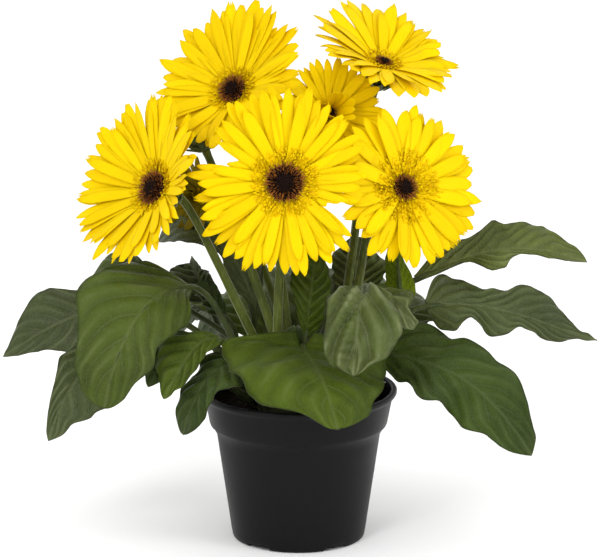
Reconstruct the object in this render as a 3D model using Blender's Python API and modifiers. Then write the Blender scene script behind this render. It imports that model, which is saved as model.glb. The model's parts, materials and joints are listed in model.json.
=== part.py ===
"""Potted gerbera daisy: a round plastic pot, its potting mix, a crown, a rosette of broad
leaves, seven flower heads on leafless stalks and one bud.

Metres, +Z up. The origin is the centre of the pot's flat underside. +X is the right hand side
and -Y is the front.
"""

import math

import bmesh
import bpy
from mathutils import Matrix, Vector

MM = 0.001
SEAT_GAP = 0.3 * MM

POT_HEIGHT = 93 * MM
RIM_RADIUS = 60 * MM
RIM_FLAT = 3.4 * MM
RIM_ROUND = 0.8 * MM
LIP_DEPTH = 3 * MM
COLLAR_TOP_RADIUS = 57.2 * MM
COLLAR_FOOT_RADIUS = 54 * MM
COLLAR_DEPTH = 22 * MM
STEP_DEPTH = 7 * MM
STEP_BULGE = 1.6 * MM
BODY_TOP_RADIUS = 49.6 * MM
BODY_FOOT_RADIUS = 40.6 * MM
FOOT_BEVEL = 1.6 * MM
POT_WALL = 1.4 * MM
POT_FLOOR = 3 * MM
POT_STEPS = 48
NOTCH_COUNT = 5
NOTCH_WIDTH = 16 * MM
NOTCH_HEIGHT = 1.8 * MM
NOTCH_DEPTH = 5 * MM
NOTCH_TURN = -55

SOIL_LEVEL = 83 * MM
SOIL_STEPS = 32
SOIL_SAG = 2 * MM
SOIL_SHOULDER = 6 * MM
SOIL_SIDE_GAP = 0.45 * MM

CROWN_RADIUS = 30 * MM
CROWN_HEIGHT = 20 * MM
CROWN_STEPS = 24

LEAF_THICKNESS = 1.2 * MM
LEAF_STRIPS = 4
LEAF_CUTS = 8
STALK_PARTS = 4
RIB_PARTS = 2
EDGE_WAVE = 0.09
LEAF_STALK_FOOT = 2.2 * MM
LEAF_STALK_NECK = 1.6 * MM
LEAF_RIB_END = 0.75 * MM
LEAF_RIB_REACH = 0.42
LEAF_RIB_DROP = 0.6 * MM
LEAF_TIP_HALF_WIDTH = 1.2 * MM

SCAPE_FOOT = 2.9 * MM
SCAPE_NECK = 2.3 * MM
SCAPE_POINTS = 9
STRAIGHT_END = 3 * MM

RAY_THICKNESS = 1.1 * MM
RAY_COUNT = 22
RAY_RING = 0.56
RAY_GAP_REACH = 0.80
RAY_SHOULDER = 0.40
RAY_SHORTEST = 0.07
RAY_LAYER = 1.0 * MM
RAY_FLATTENING = 0.18
CALYX_RADIUS = 10.5 * MM
CALYX_FOOT_RADIUS = 4 * MM
CALYX_HEIGHT = 13 * MM
CALYX_STEPS = 12
CALYX_TOP = RAY_THICKNESS * 1.25 + SEAT_GAP
HEAD_BACK = CALYX_TOP + CALYX_HEIGHT + SEAT_GAP
EYE_HEIGHT = 4 * MM
EYE_STEPS = 16

# Each leaf: its seat on the crown as a heading and a lift on the dome, both in degrees. Then
# the neck, where blade meets stalk, and the tip, each as heading in degrees, reach from the
# pot's axis and height in millimetres. Rise and drop are the slopes of the midrib at neck and
# tip, in degrees. Width is the blade's, in millimetres, and roll turns the blade about its
# midrib, in degrees. Waves, ruffle and phase are the count, height in millimetres and start of
# the ripples along the edge. Cup lifts the edges, as a share of the half width. Belly below 1
# moves the widest place towards the neck, blunt below 1 fills out the ends, and skew widens
# one half and narrows the other.
LEAVES = {
    "leaf_far_left": dict(
        seat=(176, 32), neck=(175, 110, 143), tip=(176, 181, 109), rise=-2, drop=-36,
        width=42, roll=50, waves=1.6, ruffle=2.0, phase=0.2, cup=0.10, blunt=0.75,
        belly=0.85, skew=0.0),
    "leaf_big_left": dict(
        seat=(-168, 38), neck=(-170, 69, 157), tip=(-152, 132, 96), rise=22, drop=-72,
        width=62, roll=38, waves=2.0, ruffle=2.0, phase=0.6, cup=-0.10, blunt=0.50,
        belly=0.66, skew=0.1),
    "leaf_low_left": dict(
        seat=(-172, 14), neck=(-177, 102, 127), tip=(-166, 155, 69), rise=-28, drop=-62,
        width=36, roll=40, waves=1.5, ruffle=1.5, phase=1.4, cup=0.10, blunt=0.80,
        belly=0.85, skew=-0.15),
    "leaf_upper_left": dict(
        seat=(156, 44), neck=(162, 92, 148), tip=(166, 143, 132), rise=35, drop=-48,
        width=42, roll=35, waves=1.5, ruffle=1.5, phase=2.2, cup=-0.10, blunt=0.70,
        belly=0.85, skew=0.0),
    "leaf_lobed": dict(
        seat=(150, 22), neck=(146, 60, 143), tip=(142, 98, 150), rise=30, drop=-20,
        width=34, roll=30, waves=2.6, ruffle=3.0, phase=0.0, cup=0.15, blunt=0.60,
        belly=0.85, skew=0.0),
    "leaf_small_left": dict(
        seat=(167, 12), neck=(166, 46, 134), tip=(171, 64, 149), rise=40, drop=-30,
        width=22, roll=30, waves=1.0, ruffle=1.0, phase=1.0, cup=0.15, blunt=0.55,
        belly=0.85, skew=0.0),
    "leaf_mid_left": dict(
        seat=(-146, 34), neck=(-146, 51, 133), tip=(-144, 99, 103), rise=22, drop=-62,
        width=34, roll=25, waves=1.8, ruffle=1.8, phase=0.4, cup=-0.10, blunt=0.65,
        belly=0.85, skew=0.0),
    "leaf_under_left": dict(
        seat=(-158, 12), neck=(-169, 64, 129), tip=(-157, 98, 104), rise=5, drop=-55,
        width=30, roll=20, waves=1.5, ruffle=1.5, phase=0.9, cup=0.05, blunt=0.70,
        belly=0.85, skew=0.0),
    "leaf_pot_left": dict(
        seat=(-128, 14), neck=(-134, 42, 118), tip=(-142, 88, 79), rise=14, drop=-68,
        width=48, roll=10, waves=1.8, ruffle=2.4, phase=2.6, cup=-0.10, blunt=0.60,
        belly=0.62, skew=0.0),
    "leaf_front": dict(
        seat=(-88, 34), neck=(-95, 24, 124), tip=(-72, 97, 90), rise=8, drop=-60,
        width=98, roll=7, waves=2.0, ruffle=2.2, phase=0.3, cup=-0.14, blunt=0.42,
        belly=0.6, skew=0.22),
    "leaf_crinkled": dict(
        seat=(-40, 58), neck=(-47, 46, 167), tip=(-68, 83, 123), rise=14, drop=-84,
        width=45, roll=-4, waves=2.2, ruffle=2.0, phase=1.2, cup=-0.12, blunt=0.42,
        belly=0.7, skew=0.0),
    "leaf_crinkled_side": dict(
        seat=(-12, 34), neck=(-18, 43, 153), tip=(-28, 78, 137), rise=30, drop=-58,
        width=34, roll=-22, waves=1.8, ruffle=1.6, phase=2.0, cup=-0.08, blunt=0.55,
        belly=0.85, skew=0.0),
    "leaf_upright": dict(
        seat=(-62, 56), neck=(-50, 22, 128), tip=(-24, 24, 180), rise=74, drop=60,
        width=32, roll=0, waves=2.2, ruffle=1.8, phase=0.5, cup=0.12, blunt=0.60,
        belly=0.85, skew=0.0),
    "leaf_low_right": dict(
        seat=(-22, 16), neck=(-18, 50, 120), tip=(-24, 154, 68), rise=3, drop=-60,
        width=54, roll=-38, waves=2.4, ruffle=2.6, phase=1.0, cup=-0.06, blunt=0.5,
        belly=0.85, skew=0.0),
    "leaf_mid_right": dict(
        seat=(-8, 18), neck=(0, 72, 144), tip=(2, 182, 121), rise=-16, drop=-42,
        width=37, roll=-50, waves=3.0, ruffle=3.6, phase=2.4, cup=0.06, blunt=0.80,
        belly=0.62, skew=0.05),
    "leaf_upper_right": dict(
        seat=(20, 28), neck=(12, 74, 156), tip=(14, 183, 161), rise=34, drop=-30,
        width=38, roll=-32, waves=2.2, ruffle=2.4, phase=0.0, cup=0.08, blunt=0.80,
        belly=0.85, skew=0.0),
    "leaf_young_right": dict(
        seat=(6, 32), neck=(3, 60, 152), tip=(-3, 63, 184), rise=64, drop=80,
        width=24, roll=0, waves=1.0, ruffle=0.6, phase=0.0, cup=0.20, blunt=0.60,
        belly=0.85, skew=0.0),
    "leaf_back_left": dict(
        seat=(136, 50), neck=(152, 52, 151), tip=(156, 95, 174), rise=60, drop=-24,
        width=44, roll=36, waves=1.6, ruffle=1.8, phase=1.6, cup=0.06, blunt=0.8,
        belly=0.95, skew=0.25),
    "leaf_mid_back": dict(
        seat=(60, 44), neck=(42, 50, 140), tip=(58, 66, 174), rise=64, drop=40,
        width=34, roll=0, waves=2.0, ruffle=2.0, phase=0.7, cup=0.10, blunt=0.60,
        belly=0.85, skew=0.0),
    "leaf_right_back": dict(
        seat=(36, 18), neck=(33, 34, 105), tip=(31, 136, 104), rise=42, drop=-50,
        width=42, roll=-10, waves=2.0, ruffle=2.0, phase=2.9, cup=-0.06, blunt=0.50,
        belly=0.85, skew=0.0),
    "leaf_back_right": dict(
        seat=(60, 18), neck=(61, 60, 126), tip=(60, 146, 104), rise=30, drop=-58,
        width=54, roll=-8, waves=2.0, ruffle=2.2, phase=1.1, cup=-0.08, blunt=0.60,
        belly=0.85, skew=0.0),
    "leaf_back_mid": dict(
        seat=(90, 30), neck=(90, 28, 112), tip=(90, 126, 118), rise=62, drop=-54,
        width=50, roll=4, waves=2.0, ruffle=2.2, phase=0.1, cup=-0.08, blunt=0.50,
        belly=0.85, skew=0.0),
    "leaf_back_low": dict(
        seat=(106, 10), neck=(112, 54, 118), tip=(113, 140, 88), rise=24, drop=-58,
        width=52, roll=8, waves=2.2, ruffle=2.2, phase=2.0, cup=-0.08, blunt=0.60,
        belly=0.85, skew=0.0),
    "leaf_left_back": dict(
        seat=(122, 22), neck=(120, 28, 110), tip=(124, 134, 98), rise=44, drop=-52,
        width=46, roll=10, waves=1.8, ruffle=2.0, phase=0.8, cup=-0.06, blunt=0.50,
        belly=0.85, skew=0.0),
}

# Each flower head: the centre of its face in millimetres, the way it faces as heading and
# height angle in degrees, its radius, how far its petals slope up from flat in degrees, the turn
# of its petals in degrees, its eye's radius, how long its stalk keeps straight under the head,
# in millimetres, and the stalk's seat on the crown.
HEADS = {
    "front": dict(
        place=(-8, -38, 229), faces=(-92, 18), radius=56, slope=9, spin=3, eye=12.5,
        bend=30, seat=(-130, 54)),
    "upper_left": dict(
        place=(-38, 24, 271), faces=(-122, 37), radius=55, slope=14, spin=7, eye=9.0,
        bend=30, seat=(120, 76)),
    "top_right": dict(
        place=(51, 53, 281), faces=(-51, 66), radius=50, slope=18, spin=0, eye=8,
        bend=30, seat=(34, 44)),
    "right": dict(
        place=(62, -12, 220), faces=(-59, 21), radius=52, slope=9, spin=5, eye=8,
        bend=30, seat=(4, 46)),
    "left": dict(
        place=(-83, -14, 219), faces=(-140, 25), radius=52, slope=20, spin=1, eye=11,
        bend=8, seat=(-172, 58)),
    "middle": dict(
        place=(18, 24, 257.5), faces=(-62, 30), radius=32, slope=20, spin=4, eye=6,
        bend=30, seat=(66, 56)),
    "back": dict(
        place=(-57, 40, 203), faces=(-135, 12), radius=22, slope=34, spin=2, eye=6,
        bend=14, seat=(100, 62)),
}

BUD = dict(place=(-60, 22, 245), faces=(138, 58), radius=9, length=20, bend=20,
           seat=(-160, 74))


def clear_scene():
    for thing in list(bpy.data.objects):
        bpy.data.objects.remove(thing, do_unlink=True)


def new_collection(name, helper=False):
    made = bpy.data.collections.new(name)
    bpy.context.scene.collection.children.link(made)
    made.hide_render = helper
    return made


def material(name, colour, roughness, metallic=0.0):
    made = bpy.data.materials.new(name)
    made.use_nodes = True
    shader = made.node_tree.nodes["Principled BSDF"]
    shader.inputs["Base Color"].default_value = (*colour, 1.0)
    shader.inputs["Roughness"].default_value = roughness
    shader.inputs["Metallic"].default_value = metallic
    return made


def link_object(name, data, collection, skin):
    made = bpy.data.objects.new(name, data)
    collection.objects.link(made)
    data.materials.append(skin)
    return made


def smooth(mesh):
    for face in mesh.polygons:
        face.use_smooth = True


def apply_modifiers(thing):
    """Turns the object into a plain mesh as its modifiers leave it."""
    graph = bpy.context.evaluated_depsgraph_get()
    mesh = bpy.data.meshes.new_from_object(thing.evaluated_get(graph), depsgraph=graph)
    if thing.type == "MESH":
        thing.modifiers.clear()
        thing.data = mesh
        return thing
    plain = bpy.data.objects.new(thing.name + "_mesh", mesh)
    for owner in thing.users_collection:
        owner.objects.link(plain)
    bpy.data.objects.remove(thing, do_unlink=True)
    return plain


def weld(mesh, distance=0.00001):
    work = bmesh.new()
    work.from_mesh(mesh)
    bmesh.ops.remove_doubles(work, verts=work.verts, dist=distance)
    bmesh.ops.dissolve_degenerate(work, edges=work.edges, dist=distance / 2)
    bmesh.ops.recalc_face_normals(work, faces=work.faces)
    work.to_mesh(mesh)
    work.free()


def turned(name, profile, steps, collection, skin, place=None):
    """A solid of revolution. The profile runs top to bottom on its outer side."""
    mesh = bpy.data.meshes.new(name)
    edges = [(i, i + 1) for i in range(len(profile) - 1)]
    mesh.from_pydata([(r, 0.0, z) for r, z in profile], edges, [])
    made = link_object(name, mesh, collection, skin)
    screw = made.modifiers.new("Turn", "SCREW")
    screw.steps = steps
    screw.render_steps = steps
    screw.use_merge_vertices = True
    screw.merge_threshold = 0.00001
    screw.use_smooth_shade = True
    if place is not None:
        made.matrix_world = place
    return made


def polar(heading, reach, height):
    """A point in metres from a heading in degrees and a reach and height in millimetres."""
    angle = math.radians(heading)
    return Vector((reach * math.cos(angle), reach * math.sin(angle), height)) * MM


def direction(heading, slope):
    flat = math.cos(math.radians(slope))
    angle = math.radians(heading)
    return Vector((flat * math.cos(angle), flat * math.sin(angle), math.sin(math.radians(slope))))


def bezier(p0, p1, p2, p3, t):
    s = 1 - t
    return p0 * s ** 3 + p1 * (3 * s * s * t) + p2 * (3 * s * t * t) + p3 * t ** 3


def bezier_slope(p0, p1, p2, p3, t):
    s = 1 - t
    speed = (p1 - p0) * (3 * s * s) + (p2 - p1) * (6 * s * t) + (p3 - p2) * (3 * t * t)
    return speed.normalized()


def limb(name, points, radii, collection, skin, sides=1):
    """A tapering tube along the points, closed at both ends, as a mesh."""
    path = bpy.data.curves.new(name, "CURVE")
    path.dimensions = "3D"
    path.bevel_depth = 1.0
    path.bevel_resolution = sides
    path.use_fill_caps = True
    spline = path.splines.new("POLY")
    spline.points.add(len(points) - 1)
    for knot, point, radius in zip(spline.points, points, radii):
        knot.co = (*point, 1.0)
        knot.radius = radius
    made = bpy.data.objects.new(name, path)
    collection.objects.link(made)
    plain = apply_modifiers(made)
    plain.name = name
    plain.data.name = name
    plain.data.materials.append(skin)
    weld(plain.data)
    smooth(plain.data)
    return plain


def unite(name, base, pieces, skin, target):
    """Joins the objects of a helper collection onto the base as one body of the target."""
    join = base.modifiers.new("Join", "BOOLEAN")
    join.operation = "UNION"
    join.solver = "EXACT"
    join.operand_type = "COLLECTION"
    join.collection = pieces
    apply_modifiers(base)
    for thing in list(pieces.objects):
        bpy.data.objects.remove(thing, do_unlink=True)
    mesh = base.data
    bpy.data.objects.remove(base, do_unlink=True)
    mesh.materials.clear()
    weld(mesh)
    smooth(mesh)
    return link_object(name, mesh, target, skin)


def build_pot(collection, cutters, skin):
    rim_under = POT_HEIGHT - LIP_DEPTH
    collar_foot = POT_HEIGHT - COLLAR_DEPTH
    body_top = collar_foot - STEP_DEPTH
    outer = [
        (RIM_RADIUS - RIM_ROUND, POT_HEIGHT),
        (RIM_RADIUS, POT_HEIGHT - RIM_ROUND),
        (RIM_RADIUS - RIM_ROUND / 2, rim_under),
        (COLLAR_TOP_RADIUS, rim_under - LIP_DEPTH),
        (COLLAR_FOOT_RADIUS, collar_foot),
        (BODY_TOP_RADIUS + STEP_BULGE, collar_foot - STEP_DEPTH / 2),
        (BODY_TOP_RADIUS, body_top),
        (BODY_FOOT_RADIUS, FOOT_BEVEL),
        (BODY_FOOT_RADIUS - FOOT_BEVEL, 0.0),
        (0.0, 0.0),
    ]
    inner = [
        (0.0, POT_FLOOR),
        (BODY_FOOT_RADIUS - POT_WALL, POT_FLOOR),
        (BODY_TOP_RADIUS - POT_WALL, body_top),
        (COLLAR_FOOT_RADIUS - POT_WALL, collar_foot),
        (RIM_RADIUS - RIM_FLAT, POT_HEIGHT - RIM_ROUND),
    ]
    pot = turned("pot", outer + inner + [outer[0]], POT_STEPS, collection, skin)
    for i in range(NOTCH_COUNT):
        angle = math.radians(NOTCH_TURN + i * 360 / NOTCH_COUNT)
        bpy.ops.mesh.primitive_cube_add(size=1.0)
        notch = bpy.context.object
        notch.name = "notch_%d" % (i + 1)
        notch.data.transform(Matrix.Diagonal((2 * NOTCH_DEPTH, NOTCH_WIDTH, 2 * NOTCH_HEIGHT, 1)))
        notch.matrix_world = Matrix.Rotation(angle, 4, "Z") @ Matrix.Translation(
            (BODY_FOOT_RADIUS, 0, 0))
        for owner in list(notch.users_collection):
            owner.objects.unlink(notch)
        cutters.objects.link(notch)
        notch.hide_render = True
        notch.display_type = "WIRE"
    cut = pot.modifiers.new("Drain notches", "BOOLEAN")
    cut.operation = "DIFFERENCE"
    cut.solver = "EXACT"
    cut.operand_type = "COLLECTION"
    cut.collection = cutters
    return pot


def build_soil(collection, skin):
    body_top = POT_HEIGHT - COLLAR_DEPTH - STEP_DEPTH
    collar_foot = POT_HEIGHT - COLLAR_DEPTH
    inset = POT_WALL + SOIL_SIDE_GAP
    widening = RIM_RADIUS - RIM_FLAT - COLLAR_FOOT_RADIUS + POT_WALL
    slope = widening / (COLLAR_DEPTH - RIM_ROUND)
    top_radius = COLLAR_FOOT_RADIUS - inset + slope * (SOIL_LEVEL - SOIL_SAG - collar_foot)
    profile = [
        (0.0, SOIL_LEVEL),
        (CROWN_RADIUS + SOIL_SHOULDER / 2, SOIL_LEVEL),
        (top_radius - SOIL_SHOULDER, SOIL_LEVEL - SOIL_SAG / 2),
        (top_radius, SOIL_LEVEL - SOIL_SAG),
        (COLLAR_FOOT_RADIUS - inset, collar_foot),
        (BODY_TOP_RADIUS - inset, body_top),
        (BODY_FOOT_RADIUS - inset, POT_FLOOR + SEAT_GAP),
        (0.0, POT_FLOOR + SEAT_GAP),
    ]
    return turned("soil", profile, SOIL_STEPS, collection, skin)


def crown_point(heading, lift):
    """A point on the crown's dome and the way out of it there."""
    low = SOIL_LEVEL + SEAT_GAP
    angle = math.radians(lift)
    reach = CROWN_RADIUS * math.cos(angle)
    height = low + CROWN_HEIGHT * math.sin(angle)
    turn = math.radians(heading)
    point = Vector((reach * math.cos(turn), reach * math.sin(turn), height))
    out = Vector((
        math.cos(angle) * math.cos(turn) / CROWN_RADIUS,
        math.cos(angle) * math.sin(turn) / CROWN_RADIUS,
        math.sin(angle) / CROWN_HEIGHT,
    )).normalized()
    return point, out


def build_crown(collection, skin):
    low = SOIL_LEVEL + SEAT_GAP
    levels = [90, 72, 54, 36, 18, 0]
    profile = []
    for level in levels:
        angle = math.radians(level)
        reach = CROWN_RADIUS * math.cos(angle)
        profile.append((0.0 if level == 90 else reach, low + CROWN_HEIGHT * math.sin(angle)))
    profile.append((0.0, low))
    return turned("crown", profile, CROWN_STEPS, collection, skin)


def blade_outline(s, leaf, side):
    """Half the width of the blade at s from neck to tip, as a share of its greatest."""
    body = math.sin(math.pi * max(s, 0.0) ** leaf["belly"]) if s < 1 else 0.0
    wave = 1 + EDGE_WAVE * math.sin(2 * math.pi * leaf["waves"] * s + leaf["phase"] + 1.3 * side)
    return max(body, 0.0) ** leaf["blunt"] * wave


def leaf_midrib(leaf):
    neck = polar(*leaf["neck"])
    tip = polar(*leaf["tip"])
    chord = tip - neck
    heading = math.degrees(math.atan2(chord.y, chord.x))
    span = chord.length
    bulge = 0.36 + 0.0012 * abs(leaf["rise"] - leaf["drop"])
    away = direction(heading, leaf["rise"])
    down = direction(heading, leaf["drop"])
    return neck, neck + away * span * bulge, tip - down * span * bulge, tip


def leaf_stalk(leaf):
    foot, out = crown_point(*leaf["seat"])
    start = foot + out * SEAT_GAP
    neck, pull, _, _ = leaf_midrib(leaf)
    away = (pull - neck).normalized()
    span = (neck - start).length
    return start, start + out * span * 0.35, neck - away * span * 0.40, neck


def blade_point(leaf, midrib, s, u, drop=0.0):
    """A point of the blade: s runs from neck to tip, u from -1 to 1 across it."""
    centre = bezier(*midrib, s)
    along = bezier_slope(*midrib, s)
    chord = midrib[3] - midrib[0]
    flat = Vector((chord.y, -chord.x, 0.0)).normalized()
    flat = (flat - along * flat.dot(along)).normalized()
    up = flat.cross(along).normalized()
    roll = math.radians(leaf["roll"])
    side = flat * math.cos(roll) + up * math.sin(roll)
    normal = up * math.cos(roll) - flat * math.sin(roll)
    half = blade_outline(s, leaf, 1 if u > 0 else -1) * leaf["width"] * MM / 2
    half *= 1 + leaf["skew"] * (1 if u > 0 else -1)
    half = max(half, LEAF_TIP_HALF_WIDTH)
    edge = abs(u)
    swell = leaf["ruffle"] * MM * edge * edge * math.sin(
        2 * math.pi * leaf["waves"] * s + leaf["phase"] + (2.1 if u > 0 else 0.0))
    swell *= min(1.0, half / (leaf["width"] * MM / 4))
    cup = leaf["cup"] * half * edge * edge
    return centre + side * (u * half) + normal * (swell + cup - drop)


def build_leaf(name, leaf, collection, pieces, skin):
    midrib = leaf_midrib(leaf)
    bpy.ops.mesh.primitive_grid_add(x_subdivisions=LEAF_CUTS, y_subdivisions=LEAF_STRIPS, size=2.0)
    blade = bpy.context.object
    for vertex in blade.data.vertices:
        s = (vertex.co.x + 1) / 2
        s = 0.5 - 0.5 * math.cos(math.pi * (0.12 + 0.88 * s)) if s > 0 else 0.0
        vertex.co = blade_point(leaf, midrib, s, vertex.co.y)
    solid = blade.modifiers.new("Thickness", "SOLIDIFY")
    solid.thickness = LEAF_THICKNESS
    solid.offset = 0.0
    apply_modifiers(blade)
    weld(blade.data)
    stalk = leaf_stalk(leaf)
    points = []
    radii = []
    for i in range(STALK_PARTS):
        t = i / STALK_PARTS
        points.append(bezier(*stalk, t))
        if i == 0:
            points.append(points[0] + crown_point(*leaf["seat"])[1] * STRAIGHT_END)
            radii.append(LEAF_STALK_FOOT)
        radii.append(LEAF_STALK_FOOT + (LEAF_STALK_NECK - LEAF_STALK_FOOT) * t)
    for i in range(RIB_PARTS + 1):
        s = LEAF_RIB_REACH * i / RIB_PARTS
        points.append(blade_point(leaf, midrib, s, 0.0, LEAF_RIB_DROP))
        radii.append(LEAF_STALK_NECK + (LEAF_RIB_END - LEAF_STALK_NECK) * i / RIB_PARTS)
    limb(name + "_stalk", points, radii, pieces, skin)
    return unite(name, blade, pieces, skin, collection)


def head_matrix(head):
    facing = direction(*head["faces"])
    turn = facing.to_track_quat("Z", "Y").to_matrix().to_4x4()
    return Matrix.Translation(Vector(head["place"]) * MM) @ turn


def build_rays(name, head, collection, skin):
    """The ring of petals as one body: tips and the notches between them on a polar grid."""
    columns = RAY_COUNT * 3
    rings = [0.0, RAY_RING, 1.0]
    bpy.ops.mesh.primitive_grid_add(
        x_subdivisions=columns, y_subdivisions=len(rings) - 1, size=2.0)
    rays = bpy.context.object
    for owner in list(rays.users_collection):
        owner.objects.unlink(rays)
    collection.objects.link(rays)
    rays.name = name
    rays.data.name = name
    radius = head["radius"] * MM
    pitch = 2 * math.pi / RAY_COUNT
    slope = math.tan(math.radians(head["slope"]))
    for vertex in rays.data.vertices:
        column = round((vertex.co.x + 1) / 2 * columns) % columns
        ring = rings[round((vertex.co.y + 1) / 2 * (len(rings) - 1))]
        petal, part = divmod(column, 3)
        angle = pitch * (petal + (0.0, 0.5 - RAY_SHOULDER / 2, 0.5 + RAY_SHOULDER / 2)[part])
        reach = ring
        if ring == 1.0:
            long = 1.0 - RAY_SHORTEST * (1 + math.sin(petal * 2.4 + head["spin"])) / 2
            reach = RAY_GAP_REACH if part == 0 else long
        layer = RAY_LAYER if petal % 2 else -RAY_LAYER
        lift = radius * reach * slope * (1 - RAY_FLATTENING * reach)
        if ring == 1.0 and part:
            lift += layer
        angle += math.radians(head["spin"])
        vertex.co = (
            radius * reach * math.cos(angle),
            radius * reach * math.sin(angle),
            lift,
        )
    weld(rays.data)
    if sum(face.normal.z * face.area for face in rays.data.polygons) < 0:
        rays.data.flip_normals()
    solid = rays.modifiers.new("Thickness", "SOLIDIFY")
    solid.thickness = RAY_THICKNESS
    solid.offset = -1.0
    rays.data.materials.append(skin)
    smooth(rays.data)
    rays.matrix_world = head_matrix(head)
    return rays


def build_eye(name, head, collection, skin):
    radius = head["eye"] * MM
    slope = math.tan(math.radians(head["slope"]))
    rim = radius * slope + SEAT_GAP
    profile = [
        (0.0, rim + EYE_HEIGHT),
        (radius * 0.55, rim + EYE_HEIGHT * 0.86),
        (radius * 0.92, rim + EYE_HEIGHT * 0.45),
        (radius, rim),
        (0.0, SEAT_GAP),
    ]
    return turned(name, profile, EYE_STEPS, collection, skin, head_matrix(head))


def build_calyx(name, head, collection, skin):
    top = -CALYX_TOP
    slope = math.tan(math.radians(head["slope"]))
    wide = min(CALYX_RADIUS, head["radius"] * MM * 0.26)
    profile = [
        (0.0, top),
        (wide, top + wide * slope * 0.80),
        (wide * 0.96, top - CALYX_HEIGHT * 0.30),
        (wide * 0.66, top - CALYX_HEIGHT * 0.74),
        (CALYX_FOOT_RADIUS, top - CALYX_HEIGHT),
        (0.0, top - CALYX_HEIGHT),
    ]
    return turned(name, profile, CALYX_STEPS, collection, skin, head_matrix(head))


def scape_path(head, back):
    """The stalk's middle, from a straight end on the crown to a straight end under the head."""
    foot, out = crown_point(*head["seat"])
    start = foot + out * (SEAT_GAP + STRAIGHT_END)
    facing = direction(*head["faces"])
    end = Vector(head["place"]) * MM - facing * (back + STRAIGHT_END)
    span = (end - start).length
    lean = (out * 0.3 + (end - start).normalized() * 0.7).normalized()
    bend = head["bend"] * MM
    return start, start + lean * span * 0.40, end - facing * bend, end


def build_scape(name, head, back, collection, skin):
    path = scape_path(head, back)
    out = crown_point(*head["seat"])[1]
    facing = direction(*head["faces"])
    points = [path[0] - out * STRAIGHT_END]
    radii = [SCAPE_FOOT]
    for i in range(SCAPE_POINTS):
        t = i / (SCAPE_POINTS - 1)
        points.append(bezier(*path, t))
        radii.append(SCAPE_FOOT + (SCAPE_NECK - SCAPE_FOOT) * t)
    points.append(path[3] + facing * STRAIGHT_END)
    radii.append(SCAPE_NECK)
    return limb(name, points, radii, collection, skin, sides=2)


def build_bud(name, bud, collection, skin):
    wide = bud["radius"] * MM
    long = bud["length"] * MM
    profile = [
        (0.0, long * 0.50),
        (wide * 0.45, long * 0.44),
        (wide * 0.85, long * 0.18),
        (wide, -long * 0.06),
        (wide * 0.80, -long * 0.34),
        (SCAPE_NECK * 1.2, -long * 0.50),
        (0.0, -long * 0.50),
    ]
    return turned(name, profile, CALYX_STEPS, collection, skin, head_matrix(bud))


def main():
    clear_scene()
    plant = new_collection("potted_gerbera")
    cutters = new_collection("cutters", helper=True)
    pieces = new_collection("pieces", helper=True)
    pot_skin = material("pot_plastic", (0.012, 0.012, 0.013), 0.45)
    soil_skin = material("potting_mix", (0.020, 0.013, 0.009), 0.95)
    crown_skin = material("crown_green", (0.075, 0.090, 0.030), 0.70)
    leaf_skin = material("leaf_green", (0.075, 0.125, 0.030), 0.50)
    stalk_skin = material("stalk_green", (0.070, 0.110, 0.025), 0.55)
    calyx_skin = material("calyx_green", (0.085, 0.120, 0.040), 0.60)
    ray_skin = material("petal_yellow", (0.900, 0.640, 0.006), 0.55)
    eye_skin = material("eye_brown", (0.020, 0.008, 0.004), 0.80)
    build_pot(plant, cutters, pot_skin)
    build_soil(plant, soil_skin)
    build_crown(plant, crown_skin)
    for name, leaf in LEAVES.items():
        build_leaf(name, leaf, plant, pieces, leaf_skin)
    for name, head in HEADS.items():
        build_scape("scape_" + name, head, HEAD_BACK, plant, stalk_skin)
        build_calyx("calyx_" + name, head, plant, calyx_skin)
        build_rays("petals_" + name, head, plant, ray_skin)
        build_eye("eye_" + name, head, plant, eye_skin)
    build_scape("scape_bud", BUD, BUD["length"] * MM / 2 + SEAT_GAP, plant, stalk_skin)
    build_bud("bud", BUD, plant, calyx_skin)
    bpy.data.collections.remove(pieces)


main()
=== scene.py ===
"""Finish of the potted gerbera daisy: pot, potting mix, crown, leaves, stalks, petals, eyes,
bracts, bud and stage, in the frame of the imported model. Metres, +Z up, -Y is the front.
"""

import json
import math

import bpy
from bpy.props import FloatProperty, FloatVectorProperty, IntProperty, PointerProperty
from mathutils import Matrix, Vector, noise

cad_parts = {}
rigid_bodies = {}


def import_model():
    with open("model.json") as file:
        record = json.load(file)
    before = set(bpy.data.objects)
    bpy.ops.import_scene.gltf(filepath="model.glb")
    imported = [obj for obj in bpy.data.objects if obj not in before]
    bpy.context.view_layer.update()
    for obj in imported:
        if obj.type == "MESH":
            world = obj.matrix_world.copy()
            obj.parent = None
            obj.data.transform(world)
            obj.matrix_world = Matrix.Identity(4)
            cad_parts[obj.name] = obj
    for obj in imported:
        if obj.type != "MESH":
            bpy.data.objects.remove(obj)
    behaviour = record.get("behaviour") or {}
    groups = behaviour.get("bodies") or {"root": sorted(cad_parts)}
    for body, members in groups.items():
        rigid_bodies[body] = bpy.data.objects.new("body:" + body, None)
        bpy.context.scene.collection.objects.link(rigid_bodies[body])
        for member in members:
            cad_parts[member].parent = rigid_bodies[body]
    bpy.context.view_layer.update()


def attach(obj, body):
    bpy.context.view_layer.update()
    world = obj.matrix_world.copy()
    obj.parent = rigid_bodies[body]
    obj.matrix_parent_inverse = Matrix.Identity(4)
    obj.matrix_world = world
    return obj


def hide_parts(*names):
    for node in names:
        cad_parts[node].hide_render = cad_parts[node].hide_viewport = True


bl_info = {
    "name": "Potted Gerbera Finish",
    "version": (1, 0, 0),
    "blender": (4, 5, 0),
    "location": "View3D > Sidebar > Gerbera",
    "description": "Dresses the packed gerbera with leaves, petals, pot and studio",
    "category": "Object",
}

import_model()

MM = 0.001
GOLDEN_TURN = 137.508
GAP = 0.3 * MM

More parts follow.
